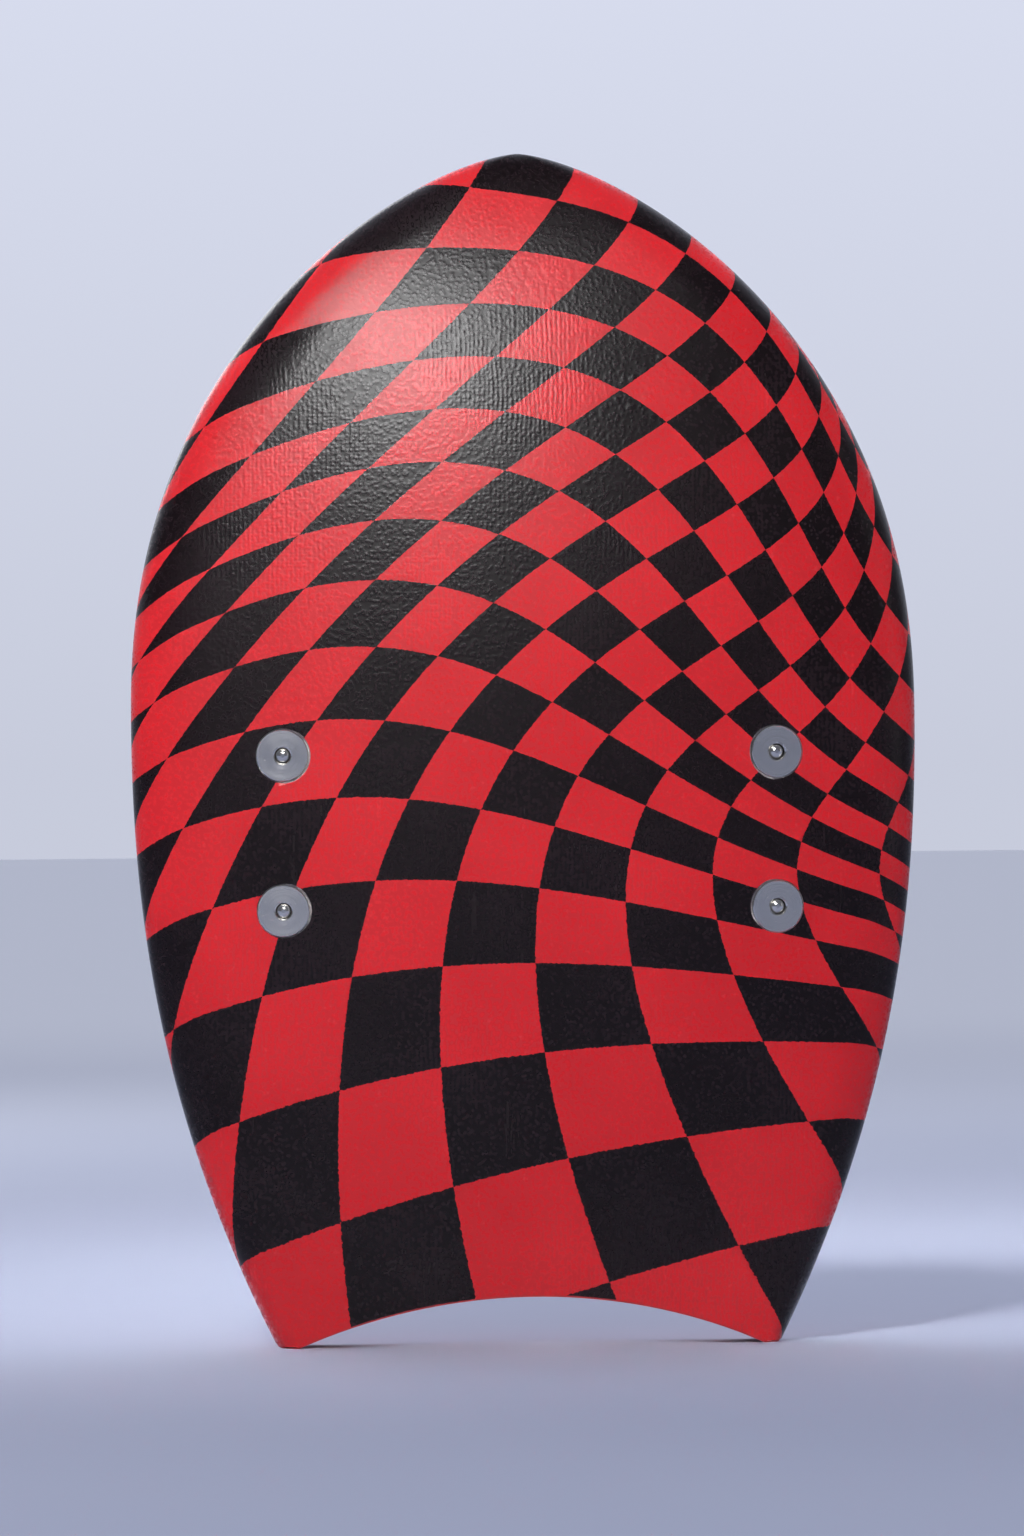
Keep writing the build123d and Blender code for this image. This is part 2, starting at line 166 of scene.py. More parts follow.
class Finishes(bpy.types.PropertyGroup):
    """Colours of the finishes."""

    print_red: colour("Print red", "Red cells of the print", (0.62, 0.021, 0.027))
    print_black: colour("Print black", "Black cells of the print", (0.0045, 0.0018, 0.0024))
    deck_red: colour("Deck red", "Deck skin and rails", (0.5, 0.014, 0.02))
    sheet_red: colour("Sheet red", "Sheet over the tail", (0.5, 0.02, 0.026))
    foam_black: colour("Foam black", "Palm pad", (0.018, 0.018, 0.02))
    webbing_black: colour("Webbing black", "Strap webbing", (0.016, 0.016, 0.018))
    thread_red: colour("Thread red", "Stitching", (0.45, 0.02, 0.025))
    steel: colour("Steel", "Discs and screws", (0.86, 0.84, 0.81))
    nylon: colour("Nylon", "Clamp plates", (0.02, 0.02, 0.022))
    core_white: colour("Core white", "Foam core and tubes", (0.82, 0.82, 0.78))
    grain: length("Grain", "Size of the embossed grain", 0.00125)


class Studio(bpy.types.PropertyGroup):
    """Camera, light and floor."""

    azimuth: number("Azimuth", "Degrees from square on, to the left", 6.0)
    roll: number("Roll", "Degrees that the camera is rolled", 0.5)
    distance: length("Distance", "From the camera to the board", 3.6)
    pixel: length("Scale", "Width of the view's 1024 parts, each", 0.0003194)
    middle_x: length("Aim across", "How far right of the board's middle it aims", -0.0015)
    middle_z: length("Aim up", "Height that the camera aims at", 0.1828)
    key_power: number("Key", "Watts of the matt light from the upper left", 1.3)
    key_spread: number("Key spread", "Degrees that the key's beam opens", 15.0)
    shine_power: number("Shine", "Watts of the soft box that shines in the bottom", 28.0)
    fill_power: number("Fill", "Watts of the soft light from the left", 3.0)
    side_power: number("Side", "Watts of the weak light from the right", 1.5)
    deck_power: number("Deck", "Watts of the soft light on the deck", 14.0)
    sky: number("Sky", "Strength of the surroundings behind the board", 1.1)
    front_sky: number("Front sky", "Strength of the surroundings before the board", 0.15)
    floor: colour("Floor", "Floor", (0.5, 0.54, 0.69))
    backdrop: colour("Backdrop", "Surroundings", (0.8, 0.84, 1.0))


# ---- Shape of the board -----------------------------------------------------------------


def half_width(shape, z):
    """Half the outline's width at each height."""
    up = np.clip((z - shape.widest) / (shape.height - shape.widest), 0, 1)
    down = np.clip((shape.widest - z) / shape.widest, 0, None)
    nose = shape.width / 2 * (1 - up**shape.nose_fullness) ** shape.nose_roundness
    tail = (shape.width - (shape.width - shape.tail_width) * down**shape.tail_fullness) / 2
    return np.where(z > shape.widest, nose, tail)


def half_thickness(shape, z):
    """Half the thickness on the centre line at each height."""
    up = np.clip((z - shape.thickest) / (shape.height - shape.thickest), 0, 1)
    down = (shape.thickest - z) / shape.thickest
    nose = shape.thickness / 2 * (1 - up**3) ** 0.45
    tail = (shape.thickness - (shape.thickness - shape.tail_thickness) * down**2) / 2
    return np.where(z > shape.thickest, nose, tail)


def middle(shape, z):
    """Y of the middle surface, before the board is set back."""
    rise = np.clip(z - shape.rocker_start, 0, None) / (shape.height - shape.rocker_start)
    return shape.rocker * rise**2 - z * tan(radians(shape.lean))


def rail_roll(shape, full, z):
    """How far in from the outline a rail starts to roll."""
    tail = np.clip(1 - z / shape.thickest, 0, 1)
    roll = full + (shape.tail_roll - full) * tail**1.5
    return np.minimum(roll, 0.5 * half_width(shape, z))


def bottom_y(shape, x, z):
    return middle(shape, z) - half_thickness(shape, z) + x**2 / (2 * shape.bottom_crown)


def deck_y(shape, x, z):
    return middle(shape, z) + half_thickness(shape, z) - x**2 / (2 * shape.deck_crown)


def setback(shape):
    """Y that centres the whole object on the frame's origin."""
    heights = np.linspace(0, shape.height, 379)
    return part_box("bottom_skin")[0].y - float(bottom_y(shape, 0, heights).min())


def half_section(shape, z):
    """Right half of one cross-section, from the middle of the bottom to that of the deck."""
    z = np.float64(z)
    width = half_width(shape, z)
    low_x = width - rail_roll(shape, shape.bottom_roll, z)
    high_x = width - rail_roll(shape, shape.deck_roll, z)
    low, high = bottom_y(shape, low_x, z), deck_y(shape, high_x, z)
    tail = np.clip(1 - z / shape.thickest, 0, 1)
    tail_drop, full = 0.12, 0.56
    apex = low + (0.5 - tail_drop * tail) * (high - low)
    low_run, high_run = full * (width - low_x), full * (width - high_x)
    rolls = (
        (
            (low_x, low),
            (low_x + low_run, low + low_run * low_x / shape.bottom_crown),
            (width, apex - full * (apex - low)),
            (width, apex),
        ),
        (
            (width, apex),
            (width, apex + full * (high - apex)),
            (high_x + high_run, high - high_run * high_x / shape.deck_crown),
            (high_x, high),
        ),
    )
    flat = np.linspace(0, low_x, 40, endpoint=False)
    line = [np.stack([flat, bottom_y(shape, flat, z)], -1)]
    t = np.linspace(0, 1, 60)
    for handles in rolls:
        weights = bernstein(t, 3)
        line.append((weights @ np.array(handles, float))[:-1])
    flat = np.linspace(high_x, 0, 40)
    line.append(np.stack([flat, deck_y(shape, flat, z)], -1))
    return np.concatenate(line)


def run_along(line):
    """Distance along a line of points in a plane, at each of them."""
    return np.concatenate([[0], np.cumsum(np.hypot(*np.diff(line, axis=0).T))])


def bernstein(t, order):
    """Weights of a Bezier curve's handles at t."""
    t = np.asarray(t, float)
    return np.stack([comb(order, k) * t**k * (1 - t) ** (order - k) for k in range(order + 1)], -1)


def parting_index(shape, line, z):
    """Where along a half section the bottom skin meets the deck skin, as a fraction."""
    level = middle(shape, np.float64(z)) + shape.parting * half_thickness(shape, np.float64(z))
    above = int(np.argmax(line[:, 1] > level))
    low, high = line[above - 1, 1], line[above, 1]
    return above - 1 + (level - low) / (high - low)


def tail_edge(shape, x):
    """Height of the crescent tail's outline at each distance from the middle."""
    half = shape.tail_width / 2
    slope = (shape.width - shape.tail_width) / 2 * shape.tail_fullness / shape.widest
    clear, corner = 0.2 * mm, -0.35 * shape.tip_radius
    side = half + clear
    sagitta = shape.crescent - corner
    radius = (side**2 + sagitta**2) / (2 * sagitta)
    centre = shape.crescent - radius
    # The tip's rounding touches the crescent and the line just outside the rail.
    run = sqrt(1 + slope**2)
    start = np.array([side - shape.tip_radius * run, corner])
    along = np.array([slope, 1.0]) / run
    away = start - np.array([0, centre])
    b, c = away @ along, away @ away - (radius + shape.tip_radius) ** 2
    tip = start + along * (-b + sqrt(b * b - c))
    lowest = tip[1] - shape.tip_radius
    touch = tip[0] * radius / (radius + shape.tip_radius)
    across = np.abs(x)
    arc = centre + np.sqrt(np.clip(radius**2 - across**2, 0, None))
    inside = np.clip(shape.tip_radius**2 - (across - tip[0]) ** 2, 0, None)
    edge = np.where(across < touch, arc, tip[1] - np.sqrt(inside))
    edge = np.where(across > tip[0] + shape.tip_radius, tip[1], edge)
    return np.maximum(edge - lowest - shape.tip_flat, 0)


def skin_points(shape, deck, rows=230, half_columns=84):
    """Points of one skin's outer face, and their places on the flat sheet before it was laid."""
    tail_levels = np.linspace(0, shape.widest, 150)
    turn = np.radians(np.linspace(0, 88.8, 120)[1:])
    levels = np.concatenate(
        [tail_levels, shape.widest + (shape.height - shape.widest) * np.sin(turn)]
    )
    share = 1 - (1 - np.linspace(0, 1, half_columns + 1)) ** 1.25
    table = np.zeros((len(levels), half_columns + 1, 4))
    for k, z in enumerate(levels):
        line = half_section(shape, z)
        if deck:
            line = line[::-1]
            cut = len(line) - 1 - parting_index(shape, line[::-1], z)
        else:
            cut = parting_index(shape, line, z)
        run = run_along(line)
        end = np.interp(cut, np.arange(len(line)), run)
        table[k, :, 0] = np.interp(share * end, run, line[:, 0])
        table[k, :, 1] = np.interp(share * end, run, line[:, 1])
        table[k, :, 2] = share * end
    steps = np.diff(table[:, :, :2], axis=0)
    climb = (steps**2).sum(-1) + np.diff(levels)[:, None] ** 2
    climb = np.sqrt(np.clip(climb - np.diff(table[:, :, 2], axis=0) ** 2, 1e-12, None))
    table[1:, :, 3] = np.cumsum(climb, axis=0)

    # Each column starts where it meets the crescent and evens out further up.
    body = np.linspace(0, 1, rows)
    heights = np.interp(body, np.linspace(0, 1, len(levels)), levels)
    fine = np.linspace(0, 0.03, 241)
    settle = 0.06
    points = np.zeros((rows, 2 * half_columns + 1, 5))
    for column in range(half_columns + 1):
        across = np.interp(fine, levels, table[:, column, 0])
        outside = fine < tail_edge(shape, across) + shape.sheet
        start = fine[np.where(outside)[0][-1]] if outside.any() else 0.0
        ease = np.clip(1 - heights / settle, 0, 1) ** 2
        z = heights + start * ease
        place = [np.interp(z, levels, table[:, column, k]) for k in range(4)]
        right = np.stack([place[0], place[1], z, place[2], place[3]], -1)
        points[:, half_columns + column] = right
        points[:, half_columns - column] = right * (-1, 1, 1, -1, 1)
    points[:, :, 1] += setback(shape)
    return points


# ---- Print ------------------------------------------------------------------------------

# The artwork's envelope: handles that pull the square-celled artwork into its swirl, each
# the distance right of the middle and the height up the flat sheet, in millimetres.
# Each line runs from the artwork's left to its right, and the lines climb from the tail.
artwork_cells = ((-9, 7), (-3, 17))
artwork_envelope = (
    ((-474, -356), (-265, -272), (-74, -143), (102, -31), (336, -1)),
    ((-368, -29), (-229, 180), (-144, 257), (-97, 208), (102, 149)),
    ((-231, 170), (-60, 384), (10, 342), (6, 187), (114, 144)),
    ((-99, 296), (123, 387), (166, 254), (130, 139), (169, 144)),
    ((-50, 457), (90, 410), (88, 314), (83, 325), (151, 325)),
)


def artwork_place(u, v):
    """Where a point of the artwork, from 0 to 1 each way, lies on the flat sheet."""
    handles = np.array(artwork_envelope, float) * mm
    order = len(handles) - 1
    return np.einsum("...i,...j,ijk->...k", bernstein(v, order), bernstein(u, order), handles)


def artwork_cell(sheet):
    """Which cell of the artwork each point of the flat sheet falls in, across and up."""
    grid = np.linspace(0, 1, 61)
    known_u, known_v = (a.ravel() for a in np.meshgrid(grid, grid))
    known = artwork_place(known_u, known_v)
    flat = sheet.reshape(-1, 2)
    u, v = np.zeros(len(flat)), np.zeros(len(flat))
    for first in range(0, len(flat), 2000):
        some = flat[first : first + 2000]
        near = ((some[:, None] - known[None]) ** 2).sum(-1).argmin(1)
        u[first : first + 2000], v[first : first + 2000] = known_u[near], known_v[near]
    step = 1e-4
    for _ in range(12):
        here = artwork_place(u, v)
        by_u = (artwork_place(u + step, v) - here) / step
        by_v = (artwork_place(u, v + step) - here) / step
        miss = flat - here
        area = by_u[:, 0] * by_v[:, 1] - by_u[:, 1] * by_v[:, 0]
        area = np.where(np.abs(area) < 1e-6, 1e-6, area)
        u += np.clip((miss[:, 0] * by_v[:, 1] - miss[:, 1] * by_v[:, 0]) / area, -0.02, 0.02)
        v += np.clip((miss[:, 1] * by_u[:, 0] - miss[:, 0] * by_u[:, 1]) / area, -0.02, 0.02)
    (left, right), (low, high) = artwork_cells
    return np.stack([left + (right - left) * u, low + (high - low) * v], -1)


# ---- Mesh helpers -----------------------------------------------------------------------


def new_piece(name, bm):
    """A finished bmesh as a named, smoothly shaded object in the scene."""
    mesh = bpy.data.meshes.new(name)
    bm.to_mesh(mesh)
    bm.free()
    piece = bpy.data.objects.new(name, mesh)
    bpy.context.scene.collection.objects.link(piece)
    mesh.shade_smooth()
    return piece


def settle_modifiers(piece):
    """Turns a piece's modifiers into plain mesh."""
    shaped = piece.evaluated_get(bpy.context.evaluated_depsgraph_get())
    mesh = bpy.data.meshes.new_from_object(shaped)
    piece.modifiers.clear()
    piece.data = mesh
    mesh.name = piece.name


def sharpen(piece, angle):
    """Shades a piece smooth, with edges sharper than angle left crisp."""
    piece.data.shade_smooth()
    piece.data.set_sharp_from_angle(angle=radians(angle))


def face_outwards(piece):
    """Turns a closed piece's faces outwards."""
    bm = bmesh.new()
    bm.from_mesh(piece.data)
    bmesh.ops.recalc_face_normals(bm, faces=bm.faces)
    bm.to_mesh(piece.data)
    bm.free()


def grid_sheet(points, uv):
    """A bmesh grid whose vertices lie at points[row, column], with its UV map."""
    rows, columns = points.shape[:2]
    bm = bmesh.new()
    bmesh.ops.create_grid(bm, x_segments=columns - 1, y_segments=rows - 1, size=1)
    layer = bm.loops.layers.uv.new("sheet")
    places = {}
    for vertex in bm.verts:
        column = round((vertex.co.x + 1) / 2 * (columns - 1))
        row = round((vertex.co.y + 1) / 2 * (rows - 1))
        places[vertex] = (row, column)
        vertex.co = points[row, column]
    for face in bm.faces:
        for loop in face.loops:
            loop[layer].uv = uv[places[loop.vert]]
    bm.normal_update()
    return bm


def carve(piece, cutters):
    """Cuts shapes out of a piece, whose new faces take each cutter's material."""
    for cutter in cutters:
        cut = piece.modifiers.new(cutter.name, "BOOLEAN")
        cut.object, cut.operation, cut.solver = cutter, "DIFFERENCE", "EXACT"
        cut.material_mode = "TRANSFER"
    settle_modifiers(piece)
    for cutter in cutters:
        bpy.data.objects.remove(cutter)


def place_on(origin, across, along, out):
    """Matrix with its x axis across, its y axis along and its z axis out of a face."""
    matrix = Matrix((across, along, out)).transposed().to_4x4()
    matrix.translation = origin
    return matrix


# ---- Planes of the fixings and the strap ------------------------------------------------

up_the_board = -Vector(joints["strap_peel"]["axis"]).normalized()
across_board = Vector((1, 0, 0))
out_of_deck = up_the_board.cross(across_board).normalized()
right_hinge = Vector(joints["strap_peel"]["pos_m"])
left_hinge = Vector(joints["strap_spread"]["pos_m"])


def strap_point(x, rise, along=0.0):
    """A point given across the board, out of the deck and up the board from the strap."""
    strap = bpy.context.scene.strap_sizes
    base = right_hinge - out_of_deck * strap.side_height
    return Vector((0, base.y, base.z)) + across_board * x + out_of_deck * rise + up_the_board * along


def fixing_planes():
    """Plane on the bottom at each fixing, with z out of the bottom, by the fixing's name."""
    shape, fixings = bpy.context.scene.board_shape, bpy.context.scene.fixing_sizes
    half = fixings.span / 2
    station = np.float64(fixings.station)
    level = float(bottom_y(shape, half, station) - deck_y(shape, 0, station))
    splay = radians(fixings.splay)
    planes = {}
    for side_name, side in (("left", -1), ("right", 1)):
        outward = across_board * side * sin(splay) - out_of_deck * cos(splay)
        for row_name, row in (("rear", -1), ("front", 1)):
            centre = strap_point(side * half, level, row * fixings.pitch / 2)
            across = up_the_board.cross(outward)
            planes[f"{side_name}_{row_name}"] = place_on(centre, across, up_the_board, outward)
    return planes


def clamp_centre(side):
    """Middle of one clamp's seat under the webbing, across and out of the deck."""
    shape, fixings = bpy.context.scene.board_shape, bpy.context.scene.fixing_sizes
    strap = bpy.context.scene.strap_sizes
    half, station = fixings.span / 2, np.float64(fixings.station)
    splay = radians(fixings.splay)
    level = fixings.plate_lift - strap.webbing - half**2 / (2 * shape.deck_crown)
    drop = float(bottom_y(shape, half, station) - deck_y(shape, 0, station))
    reach = (level - drop) / cos(splay)
    return side * (half - reach * sin(splay)), level


# ---- Shader building --------------------------------------------------------------------


class Wire:
    """One value in a finish, so that shader maths reads as plain arithmetic."""

    def __init__(self, finish, socket):
        self.finish = finish
        self.socket = socket

    def maths(self, operation, *values):
        return self.finish.maths(operation, self, *values)

    def __add__(self, other):
        return self.maths("ADD", other)

    def __sub__(self, other):
        return self.maths("SUBTRACT", other)

    def __mul__(self, other):
        return self.maths("MULTIPLY", other)

    def __truediv__(self, other):
        return self.maths("DIVIDE", other)

    def __mod__(self, other):
        return self.maths("FLOORED_MODULO", other)

    def __pow__(self, other):
        return self.maths("POWER", other)

    def __gt__(self, other):
        return self.maths("GREATER_THAN", other)

    def __rsub__(self, other):
        return self.finish.maths("SUBTRACT", other, self)

    def __rtruediv__(self, other):
        return self.finish.maths("DIVIDE", other, self)

    __radd__ = __add__
    __rmul__ = __mul__

    def floor(self):
        return self.maths("FLOOR")

    def sine(self):
        return self.maths("SINE")

    def size(self):
        return self.maths("ABSOLUTE")

    def ramp(self, low, high):
        """0 at low and 1 at high, held outside them."""
        node = self.finish.node(
            "ShaderNodeMapRange",
            {"interpolation_type": "SMOOTHSTEP"},
            {"Value": self, "From Min": low, "From Max": high, "To Min": 0.0, "To Max": 1.0},
        )
        return Wire(self.finish, node.outputs["Result"])


class Finish:
    """A material being built, with its surface shader ready to be fed."""

    def __init__(self, name, **constants):
        self.material = bpy.data.materials.new(name)
        self.material.use_nodes = True
        self.tree = self.material.node_tree
        self.tree.nodes.clear()
        spaced = {key.replace("_", " "): value for key, value in constants.items()}
        self.surface = self.node("ShaderNodeBsdfPrincipled", {}, spaced)
        self.node("ShaderNodeOutputMaterial", {}, {"Surface": self.surface.outputs[0]})

    def node(self, kind, settings, sockets):
        """Adds one node: its settings first, then the values or links of its sockets."""
        node = self.tree.nodes.new(kind)
        for key, value in settings.items():
            setattr(node, key, value)
        for key, value in sockets.items():
            self.feed(node.inputs[key], value)
        return node

    def feed(self, socket, value):
        """Links or sets one socket."""
        if isinstance(value, Wire):
            value = value.socket
        if isinstance(value, bpy.types.NodeSocket):
            self.tree.links.new(value, socket)
        elif hasattr(value, "__len__") and len(value) == 3 and socket.type == "RGBA":
            socket.default_value = (*value, 1)
        else:
            socket.default_value = value

    def maths(self, operation, *values):
        node = self.node("ShaderNodeMath", {"operation": operation}, dict(enumerate(values)))
        return Wire(self, node.outputs[0])

    def place(self, offset=(0, 0, 0), turn=(0, 0, 0), stretch=(1, 1, 1)):
        """Object coordinates, stretched first, then turned and moved by offset."""
        here = self.node("ShaderNodeTexCoord", {}, {}).outputs["Object"]
        mapped = self.node(
            "ShaderNodeMapping",
            {"vector_type": "POINT"},
            {"Vector": here, "Location": offset, "Rotation": turn, "Scale": stretch},
        )
        return Wire(self, mapped.outputs[0])

    def sheet(self):
        """The piece's own UV map, in the units that it was laid out in."""
        return Wire(self, self.node("ShaderNodeUVMap", {"uv_map": "sheet"}, {}).outputs[0])

    def split(self, vector):
        """The three parts of a vector."""
        node = self.node("ShaderNodeSeparateXYZ", {}, {"Vector": vector})
        return [Wire(self, socket) for socket in node.outputs]

    def join(self, x, y, z):
        node = self.node("ShaderNodeCombineXYZ", {}, {"X": x, "Y": y, "Z": z})
        return Wire(self, node.outputs[0])

    def noise(self, where, scale, detail=2.0, rough=0.5, warp=0.0):
        node = self.node(
            "ShaderNodeTexNoise",
            {},
            {
                "Vector": where,
                "Scale": scale,
                "Detail": detail,
                "Roughness": rough,
                "Distortion": warp,
            },
        )
        return Wire(self, node.outputs[0])

    def cells(self, where, scale, feature="F1"):
        """Distance pattern of scattered cells."""
        node = self.node(
            "ShaderNodeTexVoronoi",
            {"feature": feature},
            {"Vector": where, "Scale": scale, "Randomness": 1.0},
        )
        return Wire(self, node.outputs["Distance"])

    def mix(self, amount, first, second):
        """One colour laid over another."""
        node = self.node(
            "ShaderNodeMix",
            {"data_type": "RGBA", "blend_type": "MIX"},
            {0: amount, 6: first, 7: second},
        )
        return Wire(self, node.outputs[2])

    def relief(self, height, strength, depth, under=None):
        """Normal bent by a height, which runs from 0 to 1 over depth in metres."""
        sockets = {"Strength": strength, "Distance": depth, "Height": height}
        if under is not None:
            sockets["Normal"] = under
        return Wire(self, self.node("ShaderNodeBump", {}, sockets).outputs[0])

    def vector(self, operation, *values):
        node = self.node("ShaderNodeVectorMath", {"operation": operation}, dict(enumerate(values)))
        return Wire(self, node.outputs[0])

    def tilt(self, direction, amount):
        """Normal leaned along a direction by an amount."""
        facing = self.node("ShaderNodeNewGeometry", {}, {}).outputs["Normal"]
        lean = self.vector("MULTIPLY", direction, self.join(amount, amount, amount))
        return self.vector("NORMALIZE", self.vector("ADD", facing, lean))

    def set(self, **inputs):
        """Feeds the surface shader and returns the material."""
        for key, value in inputs.items():
            self.feed(self.surface.inputs[key.replace("_", " ")], value)
        return self.material


def dress(piece, material):
    """Gives one material to a piece, or to the CAD node of that name."""
    if isinstance(piece, str):
        piece = nodes[piece]
    piece.data.materials.clear()
    piece.data.materials.append(material)
    return piece


def embossed_grain(finish, where, size, ribs=0.0):
    """Height of a pressed leather-like grain, with woven ribs where ribs is above 0."""
    drift = finish.noise(where, 420.0, 2.0, 0.6)
    pebble = finish.cells(where, 1.0 / size, "SMOOTH_F1")
    fine = finish.noise(where, 2.4 / size, 2.0, 0.6)
    grain = (1 - pebble.ramp(0.05, 0.75)) * 0.62 + fine * 0.38
    if not ribs:
        return grain, drift
    rib_pitch, cross_pitch = 0.00145, 0.0011
    x, _, z = finish.split(where)
    wander = finish.noise(where, 70.0, 2.0, 0.5)
    rib = ((x / rib_pitch + wander * 1.6) * (2 * pi)).sine() * 0.5 + 0.5
    cross = ((z / cross_pitch + wander * 1.2) * (2 * pi)).sine() * 0.5 + 0.5
    patch = finish.noise(where, 22.0, 2.0, 0.55).ramp(0.42, 0.66)
    return grain + (rib * 0.75 + cross * 0.25) * patch * ribs, drift


# ---- Finishes ---------------------------------------------------------------------------


def printed_skin():
    """The bottom's red and black checker, printed on a grained slick skin."""
    paint = bpy.context.scene.finishes
    finish = Finish("printed_skin", IOR=1.47, Specular_IOR_Level=0.26)
    where = finish.place()
    grain, drift = embossed_grain(finish, where, paint.grain, ribs=0.42)
    across, up, _ = finish.split(finish.sheet())
    bleed = (finish.noise(where, 900.0, 2.0, 0.6) - 0.5) * 0.035
    parity = ((across + bleed).floor() + (up + bleed).floor()) % 2.0
    black = parity > 0.5
    cloud = finish.noise(where, 14.0, 3.0, 0.55)
    peaks = grain.ramp(0.35, 0.85)
    red = finish.mix(cloud.ramp(0.3, 0.75) * 0.3, paint.print_red, (0.74, 0.035, 0.042))
    # Painted shade: the red cells darken in the grain's hollows.
    red = finish.mix((1 - peaks) * 0.5, red, (0.42, 0.006, 0.01))
    red = finish.mix(drift.ramp(0.62, 0.8) * 0.25, red, (0.8, 0.09, 0.1))
    # Painted highlight: the black cells lighten on the grain's peaks, as glints.
    dark = finish.mix(peaks * 0.8, paint.print_black, (0.015, 0.0085, 0.0105))
    dark = finish.mix(cloud.ramp(0.4, 0.8) * 0.3, dark, (0.012, 0.006, 0.0075))
    scuff = finish.noise(finish.place(stretch=(1, 1, 0.12)), 190.0, 3.0, 0.7).ramp(0.66, 0.78)
    rough = 0.26 + cloud * 0.07 - peaks * 0.04 + scuff * 0.12 - black * 0.02
    pebbles = finish.cells(where, 190.0)
    clusters = finish.noise(where, 19.0, 1.0, 0.4).ramp(0.58, 0.72)
    bumps = (1 - pebbles.ramp(0.05, 0.42)) * clusters
    fine = finish.relief(grain, 0.3, 0.0002)
    coarse = finish.relief(bumps, 0.25, 0.0003, fine)
    return finish.set(
        Base_Color=finish.mix(black, red, dark), Roughness=rough, Normal=coarse
    )


def skin_edge():
    """Cut edge of a skin, as seen down the side of a recess."""
    finish = Finish("skin_edge", IOR=1.45)
    speck = finish.cells(finish.place(), 2600.0)
    shade = finish.mix(speck.ramp(0.1, 0.6), (0.16, 0.14, 0.14), (0.42, 0.38, 0.38))
    return finish.set(Base_Color=shade, Roughness=0.7 + speck * 0.2)


def deck_foam():
    """Closed-cell deck skin, heat-textured with a fine grain."""
    paint = bpy.context.scene.finishes
    finish = Finish("deck_foam", IOR=1.42, Sheen_Weight=0.08)
    where = finish.place()
    grain, drift = embossed_grain(finish, where, paint.grain * 1.15)
    cloud = finish.noise(where, 17.0, 3.0, 0.6)
    shade = finish.mix(cloud.ramp(0.3, 0.8) * 0.4, paint.deck_red, (0.4, 0.009, 0.014))
    # Painted shade: the deck skin darkens in the grain's hollows.
    shade = finish.mix((1 - grain.ramp(0.4, 0.9)) * 0.4, shade, (0.26, 0.004, 0.008))
    shade = finish.mix(drift.ramp(0.64, 0.8) * 0.2, shade, (0.66, 0.06, 0.07))
    dent = finish.noise(where, 60.0, 2.0, 0.5)
    normal = finish.relief(grain, 0.6, 0.0003, finish.relief(dent, 0.15, 0.0012))
    return finish.set(Base_Color=shade, Roughness=0.56 + cloud * 0.14, Normal=normal)


def tail_sheet():
    """Thin plain sheet over the tail, with faint drawing lines from being pulled round."""
    paint = bpy.context.scene.finishes
    finish = Finish("tail_sheet", IOR=1.46)
    lines = finish.noise(finish.place(stretch=(6, 0.4, 1)), 150.0, 3.0, 0.6)
    cloud = finish.noise(finish.place(), 40.0, 2.0, 0.5)
    shade = finish.mix(cloud * 0.5, paint.sheet_red, (0.36, 0.012, 0.018))
    normal = finish.relief(lines, 0.25, 0.0002)
    return finish.set(Base_Color=shade, Roughness=0.38 + lines * 0.16, Normal=normal)


def palm_foam():
    """Black EVA foam: tiny closed cells and a fine pressed diamond texture."""
    paint = bpy.context.scene.finishes
    finish = Finish("palm_foam", IOR=1.4, Sheen_Weight=0.1)
    where = finish.place()
    cells = finish.cells(where, 1500.0)
    diamonds, pitch = finish.place(turn=(0, radians(45), 0)), 0.0022
    x, _, z = finish.split(diamonds)
    pressed = ((x / pitch * (2 * pi)).sine() * (z / pitch * (2 * pi)).sine()) * 0.5 + 0.5
    cloud = finish.noise(where, 60.0, 3.0, 0.6)
    shade = finish.mix(cloud.ramp(0.35, 0.75) * 0.6, paint.foam_black, (0.036, 0.036, 0.039))
    # Painted shade: the foam darkens in the pits of its cells.
    shade = finish.mix((1 - cells.ramp(0.05, 0.5)) * 0.45, shade, (0.007, 0.007, 0.008))
    height = pressed * 0.7 + cells * 0.3
    normal = finish.relief(height, 0.55, 0.00035)
    return finish.set(Base_Color=shade, Roughness=0.68 + cloud * 0.18, Normal=normal)


def turned_steel(plane):
    """Steel faced on a lathe: fine rings about the disc's own axis."""
    paint = bpy.context.scene.finishes
    finish = Finish("turned_steel", IOR=2.4)
    back = plane.inverted()
    turn = back.to_euler("XYZ")
    x, y, _ = finish.split(finish.place(offset=back.translation, turn=turn))
    radius = (x * x + y * y) ** 0.5
    rings = finish.noise(finish.join(radius, 0.31, 0.17), 9000.0, 3.0, 0.75)
    wide = finish.noise(finish.join(radius, 0.7, 0.2), 1300.0, 2.0, 0.6)
    haze = finish.noise(finish.place(), 260.0, 3.0, 0.6)
    nick = finish.noise(finish.place(stretch=(1, 1, 5)), 700.0, 2.0, 0.6).ramp(0.7, 0.76)
    shade = finish.mix(haze * 0.5, paint.steel, (0.74, 0.73, 0.71))
    shade = finish.mix(wide.ramp(0.35, 0.7) * 0.35, shade, (0.6, 0.59, 0.58))
    centre = finish.vector("SUBTRACT", finish.place(), plane.translation)
    radial = finish.vector("NORMALIZE", centre)
    normal = finish.tilt(radial, (rings - 0.5) * 0.75 + (wide - 0.5) * 0.1)
    rough = 0.15 + haze * 0.08 + nick * 0.2
    return finish.set(Base_Color=shade, Metallic=1.0, Roughness=rough, Normal=normal)


